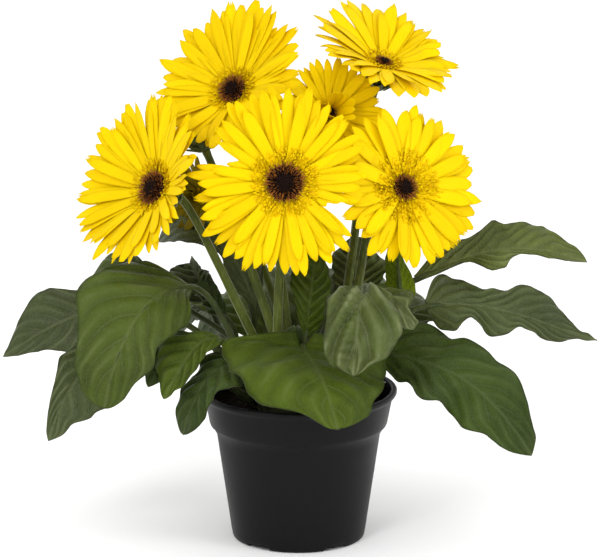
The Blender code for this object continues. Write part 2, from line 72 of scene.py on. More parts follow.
# The pot and its filling, as in the source.
POT_HEIGHT = 93 * MM
RIM_RADIUS = 60 * MM
RIM_FLAT = 3.4 * MM
RIM_ROUND = 0.8 * MM
LIP_DEPTH = 3 * MM
COLLAR_TOP = 57.2 * MM
COLLAR_FOOT = 54 * MM
COLLAR_DEPTH = 22 * MM
STEP_DEPTH = 7 * MM
STEP_BULGE = 1.6 * MM
BODY_TOP = 49.6 * MM
BODY_FOOT = 40.6 * MM
FOOT_BEVEL = 1.6 * MM
POT_WALL = 1.4 * MM
POT_FLOOR = 3 * MM
NOTCH_COUNT = 5
NOTCH_WIDTH = 16 * MM
NOTCH_HEIGHT = 1.8 * MM
NOTCH_DEPTH = 5 * MM
NOTCH_TURN = -55
POT_STRIP = 4 * MM
SOIL_LEVEL = 83 * MM
SOIL_SAG = 2 * MM
SOIL_SIDE_GAP = 0.45 * MM
SOIL_RINGS = 34
CROWN_RADIUS = 30 * MM
CROWN_HEIGHT = 20 * MM

# Leaves, stalks and heads, as in the source.
LEAF_STALK_FOOT = 2.2 * MM
LEAF_STALK_NECK = 1.6 * MM
SCAPE_FOOT = 2.9 * MM
SCAPE_NECK = 2.3 * MM
STRAIGHT_END = 3 * MM
CALYX_RADIUS = 10.5 * MM
CALYX_FOOT = 4 * MM
CALYX_HEIGHT = 13 * MM
CALYX_TOP = 1.1 * MM * 1.25 + GAP
HEAD_BACK = CALYX_TOP + CALYX_HEIGHT + GAP

# The finer form. Belly shapes a blade without half widths of its own, tip start and rib end
# are places along a blade from 0 to 1, ladder height is that of the fine cross ribs, and the
# pattern unit is the way across a blade that its stored place counts as one.
EDGE_WAVE = 0.09
BELLY = 0.85
TIP_START = 0.95
RIB_END = 0.90
RIB_DEPTH = 0.9 * MM
RIB_SPREAD = 1.5 * MM
LADDER_HEIGHT = 1.1 * MM
PATTERN_UNIT = 50 * MM
LEAF_STALK_PARTS = 26
SCAPE_PARTS = 64

# The stage.
FLOOR_REACH = 6.0
FLOOR_DROP = 0.2 * MM
VIEW_MIDDLE = Vector((0.0009, 0.0, 0.1613))

# Each leaf on the source's plan, its midrib fitted again for the finer blade: the seat on the
# crown (heading and lift, degrees), neck and tip (heading in degrees, reach and height in
# millimetres), the midrib's slopes, and the blade's width, roll, ripples, cup and outline.
# Bow shifts the middle of the midrib sideways, and right and left are half widths at equal
# steps from neck to tip, all in millimetres. Point shapes the tip: 0.5 is round and 1 is
# straight sided. Veins counts the side veins, slant runs them forwards, crimp scales the
# bulges between them, ribs counts fine cross ribs, lift raises the lobes beside the neck, and
# tint names the green.
LEAVES = {
    "leaf_far_left": dict(
        seat=(176, 32), neck=(175, 110, 141), tip=(176, 181, 109), rise=-4, drop=-33,
        width=42, roll=50, waves=1.6, ruffle=2.0, phase=0.2, cup=0.10,
        right=(2, 6, 10, 15.8, 15.9, 15.9, 16.9, 18.8, 20.7, 22.7, 22.6, 22.7, 21.9, 20.5,
            18.6, 16.8, 14.4, 11.4, 7.5, 3.5, 0.5),
        left=(2, 8, 14, 18, 20, 22, 23, 24, 24, 23.5, 21.8, 18.9, 16.9, 14.8, 13, 11.5, 9.7,
            7.5, 5.2, 2.8, 0.5), slant=0.28, tint="grey", crimp=0.7, bow=-0.9, veins=6),
    "leaf_big_left": dict(
        seat=(-168, 38), neck=(-170, 66, 159), tip=(-152, 131, 97), rise=14, drop=-84,
        width=62, roll=38, waves=2.0, ruffle=2.0, phase=0.6, cup=-0.10,
        right=(3, 13.7, 25.1, 27.9, 30.2, 31.1, 32.5, 34.4, 36.5, 39.5, 39.8, 37.8, 34.1, 30.7,
            28.4, 26.5, 24.7, 23.2, 18.7, 14.4, 0.8),
        left=(3, 7, 11.2, 18.5, 23.1, 24.4, 24.8, 24.5, 24.1, 23.5, 22.6, 21.2, 19.6, 21, 22.3,
            21, 17.9, 14.6, 12.2, 9.4, 0.8),
        bow=-7.8, slant=0.30, tint="mid", veins=6, point=0.5),
    "leaf_low_left": dict(
        seat=(-172, 14), neck=(-177, 103, 126), tip=(-166, 155, 70), rise=-23, drop=-66,
        width=36, roll=40, waves=1.5, ruffle=1.5, phase=1.4, cup=0.10,
        right=(2, 5.5, 9, 11.8, 14.8, 14.5, 14.5, 14.7, 15.3, 16.2, 14, 12.1, 10.6, 9.5, 8.6,
            7.7, 6.5, 5.4, 4.2, 2.9, 0.5),
        left=(2, 5.5, 9, 12, 15, 18, 21, 23.5, 25.5, 26.5, 27, 27, 25.8, 24.2, 22.4, 20.6,
            16.9, 11.6, 9.3, 6.7, 0.5), slant=0.30, tint="grey", crimp=0.7, bow=3.8, veins=6),
    "leaf_upper_left": dict(
        seat=(156, 44), neck=(162, 92, 148), tip=(166, 143, 132), rise=35, drop=-48,
        width=42, roll=35, waves=1.5, ruffle=1.5, phase=2.2, cup=-0.10, blunt=0.70,
        tint="mid"),
    "leaf_lobed": dict(
        seat=(150, 22), neck=(150, 65, 139), tip=(138, 89, 161), rise=52, drop=18,
        width=34, roll=15, waves=2.6, ruffle=2.0, phase=0.0, cup=0.15,
        right=(2, 5, 7.5, 8.2, 8.7, 8.4, 8.1, 7.7, 7.5, 7.6, 7.8, 7.6, 4.2, 3.6, 3, 2.5, 2.1,
            1.8, 1.3, 0.8, 0.5),
        left=(2, 9, 15.2, 15.7, 15.8, 16, 16.6, 17.6, 17.2, 16.8, 16.5, 16.2, 15.9, 15.7,
            15.5, 12.9, 2.7, 1.7, 1.2, 0.8, 0.5), bow=-3, tint="grey", crimp=1.1),
    "leaf_small_left": dict(
        seat=(167, 12), neck=(166, 46, 134), tip=(171, 64, 149), rise=40, drop=-30,
        width=22, roll=30, waves=1.0, ruffle=1.0, phase=1.0, cup=0.15, blunt=0.55,
        tint="dark", veins=4),
    "leaf_mid_left": dict(
        seat=(-146, 34), neck=(-147, 53, 130), tip=(-144, 99, 102), rise=30, drop=-56,
        width=34, roll=25, waves=1.8, ruffle=1.8, phase=0.4, cup=-0.10,
        right=(2, 3.2, 4.4, 6.5, 8.3, 9.4, 10.6, 11.5, 12.8, 15.1, 17.8, 19.7, 20.7, 20, 19.2,
            17.7, 16, 11.5, 7.9, 4.9, 0.5),
        left=(2, 4.3, 6.4, 7.8, 8.3, 8.1, 7.7, 7.3, 7.2, 7.8, 8.4, 9, 9.4, 9.3, 8.8, 7.9, 6.9,
            6, 3.4, 2.6, 0.5),
        tint="bright", veins=6, crimp=0.8, bow=-2.6, point=0.6),
    "leaf_under_left": dict(
        seat=(-158, 12), neck=(-169, 64, 129), tip=(-157, 98, 104), rise=5, drop=-55,
        width=30, roll=20, waves=1.5, ruffle=1.5, phase=0.9, cup=0.05, blunt=0.70,
        tint="dark"),
    "leaf_pot_left": dict(
        seat=(-128, 14), neck=(-134, 42, 118), tip=(-142, 88, 79), rise=14, drop=-68,
        width=48, roll=10, waves=1.8, ruffle=2.4, phase=2.6, cup=-0.10,
        right=(3, 7, 11, 13, 15, 16.5, 16.3, 15.7, 15, 13.5, 13.6, 16, 17.1, 17.1, 16, 12.6,
            11.2, 10.9, 10, 7, 0.6),
        left=(3, 11, 19, 22, 22, 22, 22.8, 25, 26, 23, 18.3, 15.3, 12.8, 11.5, 10.8, 10.8,
            11.2, 11.3, 11, 8, 0.6), tint="dark", point=0.5, veins=6),
    "leaf_front": dict(
        seat=(-88, 34), neck=(-84, 24, 125), tip=(-76, 95, 93), rise=-2, drop=-61,
        width=98, roll=7, waves=2.0, ruffle=2.2, phase=0.3, cup=-0.14,
        right=(6, 44, 52.3, 52.4, 51.9, 51.5, 51.9, 52.2, 51.7, 50.2, 48.7, 46.5, 45.4, 44.5,
            43, 38.3, 29, 22.1, 15.5, 9.9, 1),
        left=(6, 42, 49.5, 48.4, 47.5, 46.8, 46.3, 45.7, 45, 44, 42.9, 41.8, 41, 39, 36.5,
            33.7, 30.8, 28.7, 26.1, 20, 1),
        bow=3.0, tint="bright", veins=5, crimp=0.75, slant=0.34, point=0.5, lift=10),
    "leaf_crinkled": dict(
        seat=(-40, 58), neck=(-40, 52, 165), tip=(-67, 83, 121), rise=5, drop=-91,
        width=45, roll=-4, waves=2.2, ruffle=2.0, phase=1.2, cup=-0.12,
        right=(4, 20, 22.6, 22.2, 21.8, 21.3, 20.8, 20.5, 20.4, 20.4, 20.4, 20.3, 20.2, 20.1,
            19.9, 19.6, 19.2, 18.6, 17.3, 14.6, 1),
        left=(4, 7, 9.2, 13.1, 17.2, 18.6, 19.8, 20.9, 22.2, 23.7, 25.6, 26.4, 27, 26.7, 24.4,
            22.4, 20.4, 18.5, 10.8, 6.4, 1),
        tint="frost", veins=2.4, crimp=1.8, bow=-1.8, slant=0.66, ribs=14),
    "leaf_crinkled_side": dict(
        seat=(-12, 34), neck=(-17, 43, 155), tip=(-28, 78, 139), rise=7, drop=-60,
        width=34, roll=-22, waves=1.8, ruffle=1.6, phase=2.0, cup=-0.08,
        right=(2, 5, 8, 9.5, 11, 11.5, 12, 12, 12, 11.5, 11, 10.5, 10, 9, 8, 7.5, 7, 6.5, 6,
            5.1, 0.6),
        left=(2, 5.3, 9.1, 11.2, 12.2, 12.8, 12.8, 12.4, 12, 12, 12.7, 14.2, 14.5, 12, 7, 6.2,
            5.5, 5.4, 5.3, 5.3, 0.6), tint="frost", crimp=1.0, bow=2.5, veins=2.2, slant=0.55),
    "leaf_upright": dict(
        seat=(-62, 56), neck=(-76, 18, 129), tip=(-40, 15, 181), rise=83, drop=70,
        width=32, roll=0, waves=2.2, ruffle=1.8, phase=0.5, cup=0.12,
        right=(2, 4.5, 8, 10, 12, 14, 15, 16, 16, 16, 16, 16, 16, 16, 16, 15.5, 15, 13, 10, 6,
            0.6),
        left=(2, 2.7, 3.9, 5.4, 7.2, 9.2, 10.6, 11.5, 11.7, 11.8, 12.2, 13.1, 14.6, 15.5, 16,
            16, 15, 13, 10, 6, 0.6), bow=1.1, tint="bright", veins=7, crimp=1.3),
    "leaf_low_right": dict(
        seat=(-22, 16), neck=(-18, 49, 120), tip=(-24, 152, 68), rise=-1, drop=-52,
        width=54, roll=-38, waves=2.4, ruffle=2.6, phase=1.0, cup=-0.06,
        right=(4, 9, 13.5, 17, 16.6, 20.1, 24.4, 25.4, 23.9, 20.5, 20.7, 22, 23.4, 24.5, 25.1,
            22.7, 17.1, 14.4, 12.5, 8.4, 0.6),
        left=(4, 14, 23, 27.5, 27.8, 25.3, 22.9, 25.8, 25.4, 24.7, 24.3, 23.3, 25.3, 26.2, 25,
            21.3, 17.4, 13.4, 10.6, 8.2, 0.6),
        bow=-3.1, slant=0.30, tint="dark", veins=6, crimp=0.8),
    "leaf_mid_right": dict(
        seat=(-8, 18), neck=(0, 77, 144), tip=(2, 182, 121), rise=8, drop=-17,
        width=37, roll=-50, waves=3.0, ruffle=3.6, phase=2.4, cup=0.06,
        right=(3, 14.3, 18.8, 19.3, 13.6, 8.7, 11.5, 16.9, 19.2, 18.6, 14.8, 9.5, 8.1, 7.6,
            8.9, 10.9, 10.2, 6.8, 2.9, 2.3, 0.5),
        left=(3, 17.1, 21.4, 18.1, 15.9, 11.7, 9.3, 12.2, 13.4, 15.5, 19.9, 19.9, 17.6, 16.8,
            16.8, 15.4, 12.5, 7.3, 2.7, 2.3, 0.5), tint="grey", veins=9, bow=1.8, point=1.1),
    "leaf_upper_right": dict(
        seat=(20, 28), neck=(12, 73, 157), tip=(14, 183, 161), rise=27, drop=-21,
        width=38, roll=-32, waves=2.2, ruffle=2.4, phase=0.0, cup=0.08,
        right=(3, 3.4, 3.4, 3, 2.2, 2.9, 6.4, 15.6, 19.6, 18.8, 13.3, 6.8, 4.6, 3.8, 4.7, 6.1,
            7.5, 7.5, 5.8, 3.1, 0.5),
        left=(3, 5.5, 7.7, 9.5, 11.4, 13.4, 15.1, 15.1, 17.1, 19.8, 22.4, 17.7, 18.8, 20.6,
            21.6, 21.3, 21.9, 18.7, 12.4, 7.8, 0.5),
        bow=4.3, tint="light", veins=10),
    "leaf_young_right": dict(
        seat=(6, 32), neck=(6, 63, 146), tip=(-3, 59, 182), rise=70, drop=77, width=24,
        roll=0, waves=1.0, ruffle=0.6, phase=0.0, cup=0.20,
        right=(2, 9.9, 10.2, 10.3, 10.2, 10.1, 9.9, 9.8, 9.7, 9.6, 9.5, 9.4, 9.3, 9.2, 9, 8.9,
            8.4, 7.6, 6.8, 5.7, 0.5),
        left=(2, 6.9, 8.5, 8.6, 8.6, 8.6, 8.5, 8.1, 7.6, 7.2, 6.9, 6.4, 5.8, 5.1, 4.4, 3.8,
            3.2, 2.6, 2, 1.6, 0.5), bow=-0.9, tint="young", veins=6, crimp=0.4),
    "leaf_back_left": dict(
        seat=(136, 50), neck=(149, 31, 129), tip=(156, 94, 175), rise=93, drop=-50,
        width=44, roll=30, waves=1.6, ruffle=1.8, phase=1.6, cup=0.06,
        right=(2, 5, 8, 10.5, 12.4, 14.9, 15.9, 16, 16.8, 16.7, 17.2, 17.1, 16.9, 17.3, 17,
            17.3, 17.3, 16, 13, 7, 0.6),
        left=(2, 2.5, 3, 4.5, 8.7, 9.9, 10.7, 10.4, 7, 6, 8.1, 11.3, 13.1, 14.6, 14.9, 14.3,
            12.9, 10.8, 8.5, 5.7, 0.6), bow=-7.9, tint="grey", crimp=0.6, veins=6),
    "leaf_mid_back": dict(
        seat=(60, 44), neck=(42, 50, 140), tip=(58, 66, 174), rise=64, drop=40,
        width=34, roll=0, waves=2.0, ruffle=2.0, phase=0.7, cup=0.10, blunt=0.60,
        tint="frost", crimp=1.1),
    "leaf_right_back": dict(
        seat=(36, 18), neck=(33, 34, 105), tip=(31, 115, 116), rise=42, drop=-44,
        width=42, roll=-10, waves=2.0, ruffle=2.0, phase=2.9, cup=-0.06, blunt=0.50,
        tint="mid"),
    "leaf_back_right": dict(
        seat=(60, 18), neck=(61, 60, 126), tip=(60, 146, 104), rise=30, drop=-58,
        width=54, roll=-8, waves=2.0, ruffle=2.2, phase=1.1, cup=-0.08, blunt=0.60,
        tint="bright"),
    "leaf_back_mid": dict(
        seat=(90, 30), neck=(90, 28, 112), tip=(90, 126, 118), rise=62, drop=-54,
        width=50, roll=4, waves=2.0, ruffle=2.2, phase=0.1, cup=-0.08, blunt=0.50,
        tint="mid"),
    "leaf_back_low": dict(
        seat=(106, 10), neck=(112, 54, 118), tip=(113, 140, 88), rise=24, drop=-58,
        width=52, roll=8, waves=2.2, ruffle=2.2, phase=2.0, cup=-0.08, blunt=0.60,
        tint="dark"),
    "leaf_left_back": dict(
        seat=(122, 22), neck=(120, 28, 110), tip=(124, 134, 98), rise=44, drop=-52,
        width=46, roll=10, waves=1.8, ruffle=2.0, phase=0.8, cup=-0.06, blunt=0.50,
        tint="bright"),
}

# Each flower head as in the source. Frill is the width in millimetres of the ring of tiny
# yellow florets round the eye, core is a smaller radius for the dark eye, broad widens the
# petals, closed lifts the inner petals, in degrees, and young paints the petals a dark
# greenish yellow as painted shade, for a head that sits in the shadow of the others. Reach
# shortens the petals to the right, top, left and bottom as seen facing the head, and each
# dent is a heading, a width, both in degrees, and how much shorter its petals are.
HEADS = {
    "front": dict(
        place=(-8, -38, 229), faces=(-92, 18), radius=56, slope=9, spin=3, eye=12.5,
        bend=30, seat=(-130, 54), frill=7, broad=0.95,
        reach=(0.84, 1.0, 0.96, 1.0), dents=((158, 8, 0.42), (-27, 8, 0.40))),
    "upper_left": dict(
        place=(-38, 24, 271), faces=(-122, 37), radius=55, slope=14, spin=7, eye=9.0,
        bend=30, seat=(120, 76), frill=5, broad=1.08,
        reach=(0.84, 0.97, 0.86, 0.80)),
    "top_right": dict(
        place=(51, 53, 281), faces=(-51, 66), radius=50, slope=18, spin=0, eye=8,
        bend=30, seat=(34, 44), frill=6, core=4.5, broad=1.25,
        reach=(0.73, 0.98, 0.86, 1.02), dents=((-20, 9, 0.12), (-62, 16, 0.16))),
    "right": dict(
        place=(62, -12, 220), faces=(-59, 21), radius=52, slope=9, spin=5, eye=8,
        bend=30, seat=(4, 46), frill=13, broad=1.28,
        reach=(0.95, 0.91, 0.90, 0.92)),
    "left": dict(
        place=(-83, -14, 219), faces=(-140, 25), radius=52, slope=20, spin=1, eye=11,
        bend=8, seat=(-172, 58), frill=5, broad=0.96,
        reach=(0.86, 1.0, 1.02, 0.96)),
    "middle": dict(
        place=(18, 24, 257.5), faces=(-62, 30), radius=32, slope=20, spin=4, eye=6,
        bend=30, seat=(66, 56), frill=3, core=3, closed=50, broad=1.1),
    # The back head sits in shadow: its petals get painted shade.
    "back": dict(
        place=(-57, 40, 203), faces=(-135, 12), radius=22, slope=34, spin=2, eye=6,
        bend=14, seat=(100, 62), frill=2, core=2, young=1, closed=50, broad=1.2),
}

BUD = dict(place=(-60, 22, 245), faces=(138, 58), radius=9, length=20, bend=20,
           seat=(-160, 74))


# ---------------------------------------------------------------- settings


COLOUR = dict(subtype="COLOR", size=3, min=0.0, max=1.0)


class GerberaPotSettings(bpy.types.PropertyGroup):
    plastic: FloatVectorProperty(
        name="Plastic", description="Colour of the pot's plastic",
        default=(0.0036, 0.0036, 0.0038), **COLOUR)
    steps: IntProperty(
        name="Steps", description="Facets round the pot", default=120, min=48, max=240)
    mix: FloatVectorProperty(
        name="Potting mix", description="Colour of the damp potting mix",
        default=(0.013, 0.0075, 0.005), **COLOUR)
    crumbs: FloatProperty(
        name="Crumbs", description="Crumbs for each square metre of potting mix",
        default=170000.0, min=0.0, max=400000.0)


class GerberaLeafSettings(bpy.types.PropertyGroup):
    rows: IntProperty(
        name="Rows", description="Cells from neck to tip", default=76, min=16, max=160)
    half_columns: IntProperty(
        name="Half columns", description="Cells from midrib to edge", default=16, min=4, max=40)
    thickness: FloatProperty(
        name="Thickness", description="Thickness of the blade", unit="LENGTH",
        default=0.8 * MM, min=0.3 * MM, max=2.0 * MM)
    pucker: FloatProperty(
        name="Pucker", description="Height of the bulges between side veins", unit="LENGTH",
        default=2.5 * MM, min=0.0, max=5.0 * MM)
    bright: FloatVectorProperty(
        name="Bright green", description="Colour of the freshest leaves",
        default=(0.038, 0.063, 0.0015), **COLOUR)
    mid: FloatVectorProperty(
        name="Middle green", description="Colour of most leaves",
        default=(0.037, 0.059, 0.0023), **COLOUR)
    grey: FloatVectorProperty(
        name="Grey green", description="Colour of the downy outer leaves",
        default=(0.038, 0.055, 0.0084), **COLOUR)
    frost: FloatVectorProperty(
        name="Pale green", description="Colour of the crinkled downy leaves",
        default=(0.046, 0.067, 0.0053), **COLOUR)
    light: FloatVectorProperty(
        name="Light green", description="Colour of the leaf that catches most light",
        default=(0.061, 0.084, 0.0088), **COLOUR)
    dark: FloatVectorProperty(
        name="Dark green", description="Colour of the shaded lower leaves",
        default=(0.024, 0.044, 0.0015), **COLOUR)
    # The youngest leaf's green is painted bright and saturated for the light that shines
    # through it.
    young: FloatVectorProperty(
        name="Young green", description="Colour of the youngest leaf, painted bright for the light shining through it",
        default=(0.080, 0.122, 0.0006), **COLOUR)


class GerberaStalkSettings(bpy.types.PropertyGroup):
    sides: IntProperty(
        name="Sides", description="Facets round a stalk", default=20, min=8, max=40)
    green: FloatVectorProperty(
        name="Stalk green", description="Colour of the flower stalks",
        default=(0.058, 0.080, 0.007), **COLOUR)
    bract: FloatVectorProperty(
        name="Bract green", description="Colour of the bracts under a head",
        default=(0.057, 0.083, 0.019), **COLOUR)


class GerberaFlowerSettings(bpy.types.PropertyGroup):
    petals: IntProperty(
        name="Petals", description="Petals in each of the two long rings", default=22,
        min=8, max=40)
    inner_petals: IntProperty(
        name="Inner petals", description="Petals in the shorter front ring", default=15,
        min=0, max=40)
    petal_width: FloatProperty(
        name="Petal width", description="Width of a petal as a share of the head's radius",
        default=0.155, min=0.05, max=0.4)
    yellow: FloatVectorProperty(
        name="Yellow", description="Colour of most petals",
        default=(0.735, 0.500, 0.0), **COLOUR)
    deep_yellow: FloatVectorProperty(
        name="Deep yellow", description="Colour of some petals",
        default=(0.715, 0.475, 0.0), **COLOUR)
    light_yellow: FloatVectorProperty(
        name="Light yellow", description="Colour of the lightest petals",
        default=(0.775, 0.530, 0.0), **COLOUR)
    # Painted shade: the petals of the head in shadow, a dark greenish yellow.
    young: FloatVectorProperty(
        name="Painted shade yellow", description="Colour of the shaded head's petals, a greenish yellow darkened as painted shade",
        default=(0.15, 0.115, 0.002), **COLOUR)


class GerberaEyeSettings(bpy.types.PropertyGroup):
    dark: FloatVectorProperty(
        name="Dark centre", description="Colour of the closed florets",
        default=(0.0077, 0.0024, 0.0015), **COLOUR)
    brown: FloatVectorProperty(
        name="Brown ring", description="Colour of the open florets",
        default=(0.163, 0.053, 0.0069), **COLOUR)
    orange: FloatVectorProperty(
        name="Orange specks", description="Colour of the stamens among the frills",
        default=(0.40, 0.14, 0.004), **COLOUR)
    amber: FloatVectorProperty(
        name="Amber", description="Colour of some of the tiny florets",
        default=(0.74, 0.37, 0.0), **COLOUR)


class GerberaStageSettings(bpy.types.PropertyGroup):
    lens: FloatProperty(
        name="Lens", description="Focal length of the camera, in millimetres",
        default=248.0, min=20.0, max=400.0)
    distance: FloatProperty(
        name="Distance", description="Camera to the middle of the plant", unit="LENGTH",
        default=2.5, min=0.5, max=10.0)
    elevation: FloatProperty(
        name="Elevation", description="How far the camera looks down", subtype="ANGLE",
        default=math.radians(14.0), min=0.0, max=math.radians(89.0))
    key: FloatProperty(
        name="Key light", description="Power of the main soft light", default=12.5,
        min=0.0, max=500.0)
    fill: FloatProperty(
        name="Fill light", description="Power of the second soft light", default=9.5,
        min=0.0, max=500.0)
    world: FloatProperty(
        name="Surround", description="Strength of the white surround", default=1.20,
        min=0.0, max=4.0)


class GerberaSettings(bpy.types.PropertyGroup):
    pot: PointerProperty(type=GerberaPotSettings, name="Pot")
    leaf: PointerProperty(type=GerberaLeafSettings, name="Leaf")
    stalk: PointerProperty(type=GerberaStalkSettings, name="Stalk")
    flower: PointerProperty(type=GerberaFlowerSettings, name="Flower")
    eye: PointerProperty(type=GerberaEyeSettings, name="Eye")
    stage: PointerProperty(type=GerberaStageSettings, name="Stage")


# ---------------------------------------------------------------- the plant's own rules


def polar(heading, reach, height):
    """A point in metres from a heading in degrees and a reach and height in millimetres."""
    angle = math.radians(heading)
    return Vector((reach * math.cos(angle), reach * math.sin(angle), height)) * MM


def direction(heading, slope):
    """The way with this heading and this slope above level, in degrees."""
    flat = math.cos(math.radians(slope))
    angle = math.radians(heading)
    rise = math.sin(math.radians(slope))
    return Vector((flat * math.cos(angle), flat * math.sin(angle), rise))


def bezier(p0, p1, p2, p3, t):
    s = 1 - t
    return p0 * s ** 3 + p1 * (3 * s * s * t) + p2 * (3 * s * t * t) + p3 * t ** 3


def bezier_slope(p0, p1, p2, p3, t):
    s = 1 - t
    speed = (p1 - p0) * (3 * s * s) + (p2 - p1) * (6 * s * t) + (p3 - p2) * (3 * t * t)
    return speed.normalized()


def ramp(value, low, high):
    """0 below low, 1 above high, and smooth between them."""
    t = min(1.0, max(0.0, (value - low) / (high - low)))
    return t * t * (3 - 2 * t)


def table_value(values, s):
    """A smooth curve through equally spaced values."""
    last = len(values) - 1
    place = min(max(s, 0.0), 1.0) * last
    i = min(int(place), last - 1)
    t = place - i
    a, b = values[i], values[i + 1]
    before = values[i - 1] if i > 0 else a
    after = values[i + 2] if i + 2 <= last else b
    lead, trail = (b - before) / 2, (after - a) / 2
    curve = (2 * t ** 3 - 3 * t * t + 1) * a + (t ** 3 - 2 * t * t + t) * lead
    return curve + (3 * t * t - 2 * t ** 3) * b + (t ** 3 - t * t) * trail


def crown_point(heading, lift):
    """A point on the crown's dome and the way out of it there."""
    low = SOIL_LEVEL + GAP
    angle = math.radians(lift)
    reach = CROWN_RADIUS * math.cos(angle)
    turn = math.radians(heading)
    point = Vector((
        reach * math.cos(turn), reach * math.sin(turn), low + CROWN_HEIGHT * math.sin(angle)))
    out = Vector((
        math.cos(angle) * math.cos(turn) / CROWN_RADIUS,
        math.cos(angle) * math.sin(turn) / CROWN_RADIUS,
        math.sin(angle) / CROWN_HEIGHT,
    )).normalized()
    return point, out


def leaf_midrib(leaf):
    neck = polar(*leaf["neck"])
    tip = polar(*leaf["tip"])
    chord = tip - neck
    heading = math.degrees(math.atan2(chord.y, chord.x))
    span = chord.length
    bulge = 0.36 + 0.0012 * abs(leaf["rise"] - leaf["drop"])
    away = direction(heading, leaf["rise"])
    down = direction(heading, leaf["drop"])
    bow = Vector((chord.y, -chord.x, 0.0)).normalized() * leaf.get("bow", 0.0) * MM
    return neck, neck + away * span * bulge + bow, tip - down * span * bulge + bow, tip


def leaf_stalk(leaf):
    foot, out = crown_point(*leaf["seat"])
    start = foot + out * GAP
    neck, pull, _, _ = leaf_midrib(leaf)
    away = (pull - neck).normalized()
    span = (neck - start).length
    return start, start + out * span * 0.35, neck - away * span * 0.40, neck


def blade_axes(leaf, midrib, s):
    """The midrib's point at s, the way across the blade and the way out of its upper face."""
    along = bezier_slope(*midrib, s)
    chord = midrib[3] - midrib[0]
    flat = Vector((chord.y, -chord.x, 0.0)).normalized()
    flat = (flat - along * flat.dot(along)).normalized()
    up = flat.cross(along).normalized()
    roll = math.radians(leaf["roll"])
    side = flat * math.cos(roll) + up * math.sin(roll)
    return bezier(*midrib, s), side, up * math.cos(roll) - flat * math.sin(roll)


def half_width(leaf, s, side):
    """Half the width of the blade at s from neck to tip, on one side of the midrib."""
    key = "right" if side > 0 else "left"
    scallop = math.cos(2 * math.pi * vein_phase(leaf, s, 1.0, side))
    scallop += 1.5 * noise.noise(Vector((s * 9, side * 3.3, leaf["phase"] * 4)))
    if key in leaf:
        half = table_value(leaf[key], min(s, TIP_START))
        if s > TIP_START:
            half *= max(1 - (s - TIP_START) / (1 - TIP_START), 0.0) ** leaf.get("point", 0.8)
        return max(half * (1 + 0.012 * scallop), 0.4) * MM
    body = max(math.sin(math.pi * max(s, 0.0) ** BELLY), 0.0)
    body = body ** leaf["blunt"] if s < 1 else 0.0
    wave = 1 + EDGE_WAVE * math.sin(
        2 * math.pi * leaf["waves"] * s + leaf["phase"] + 1.3 * side)
    half = body * wave * leaf["width"] * MM / 2 * (1 + 0.035 * scallop)
    return max(half, (1.6 if s < 0.5 else 0.5) * MM)


def vein_phase(leaf, s, across, side):
    """Whole numbers on the side veins, which leave the midrib and arch towards the tip."""
    count = leaf.get("veins", 7)
    reach = leaf.get("slant", 0.20) * across + 0.10 * across * across
    return count * (s - reach) + (0.25 if side > 0 else -0.2)


def blade_surface(leaf, midrib, s, u, side, pucker):
    """A point of the upper face: s runs from neck to tip, u from -1 to 1 across."""
    centre, way, normal = blade_axes(leaf, midrib, s)
    across = abs(u)
    half = half_width(leaf, s, side)
    swell = leaf["ruffle"] * MM * across * across * math.sin(
        2 * math.pi * leaf["waves"] * s + leaf["phase"] + (2.1 if side > 0 else 0.0))
    swell *= min(1.0, half / (leaf["width"] * MM / 4))
    height = swell + leaf["cup"] * half * across * across
    height += leaf.get("lift", 0.0) * MM * across ** 1.5 * (1 - ramp(s, 0.05, 0.40))
    phase = vein_phase(leaf, s, across, side)
    bulge = (0.5 - 0.5 * math.cos(2 * math.pi * phase)) ** 0.75
    middle = ramp(across, 0.02, 0.22) * (1 - 0.55 * ramp(across, 0.6, 1.0))
    ends = ramp(s, 0.0, 0.14) * (1 - 0.8 * ramp(s, 0.8, 1.0)) * min(1.0, half / (12 * MM))
    height += pucker * leaf.get("crimp", 1.0) * bulge * middle * ends
    if side > 0 and "ribs" in leaf:
        ladder = ramp(across, 0.02, 0.12) * (1 - ramp(across, 0.40, 0.65))
        height += LADDER_HEIGHT * ends * ladder * math.sin(2 * math.pi * leaf["ribs"] * s)
    place = centre + way * (u * half)
    coarse = noise.noise(place * 45 + Vector((leaf["phase"] * 7, 3.1, leaf["width"])))
    fine = noise.noise(place * 190 + Vector((leaf["width"], leaf["phase"] * 5, 1.7)))
    rough = 3.0 * coarse * ramp(across, 0.0, 0.5) * (1 - 0.7 * ramp(across, 0.7, 1.0))
    rough += 0.5 * fine * leaf.get("crimp", 1.0)
    height += rough * MM * ends
    height -= RIB_DEPTH * math.exp(-(u * half / RIB_SPREAD) ** 2) * (1 - 0.8 * s)
    return place + normal * height


def head_matrix(head):
    """Moves what is built at the origin, facing up, to the head's own place and facing."""
    facing = direction(*head["faces"])
    turn = facing.to_track_quat("Z", "Y").to_matrix().to_4x4()
    return Matrix.Translation(Vector(head["place"]) * MM) @ turn


def trim_rays(mesh, head):
    """Shortens the petals towards the four sides, and more inside each dent."""
    radius = head["radius"] * MM
    right, up, left, down = head.get("reach", (1, 1, 1, 1))
    for vertex in mesh.vertices:
        place = vertex.co
        angle = math.atan2(place.y, place.x)
        across, along = math.cos(angle), math.sin(angle)
        share = (right if across > 0 else left) * across * across
        share += (up if along > 0 else down) * along * along
        for heading, width, depth in head.get("dents", ()):
            off = (math.degrees(angle) - heading + 180) % 360 - 180
            share *= 1 - depth * math.exp(-(off / width) ** 2)
        outer = ramp(math.hypot(place.x, place.y), 0.25 * radius, 0.75 * radius)
        stretch = 1 + (share - 1) * outer
        vertex.co = (place.x * stretch, place.y * stretch, place.z)
    mesh.update()


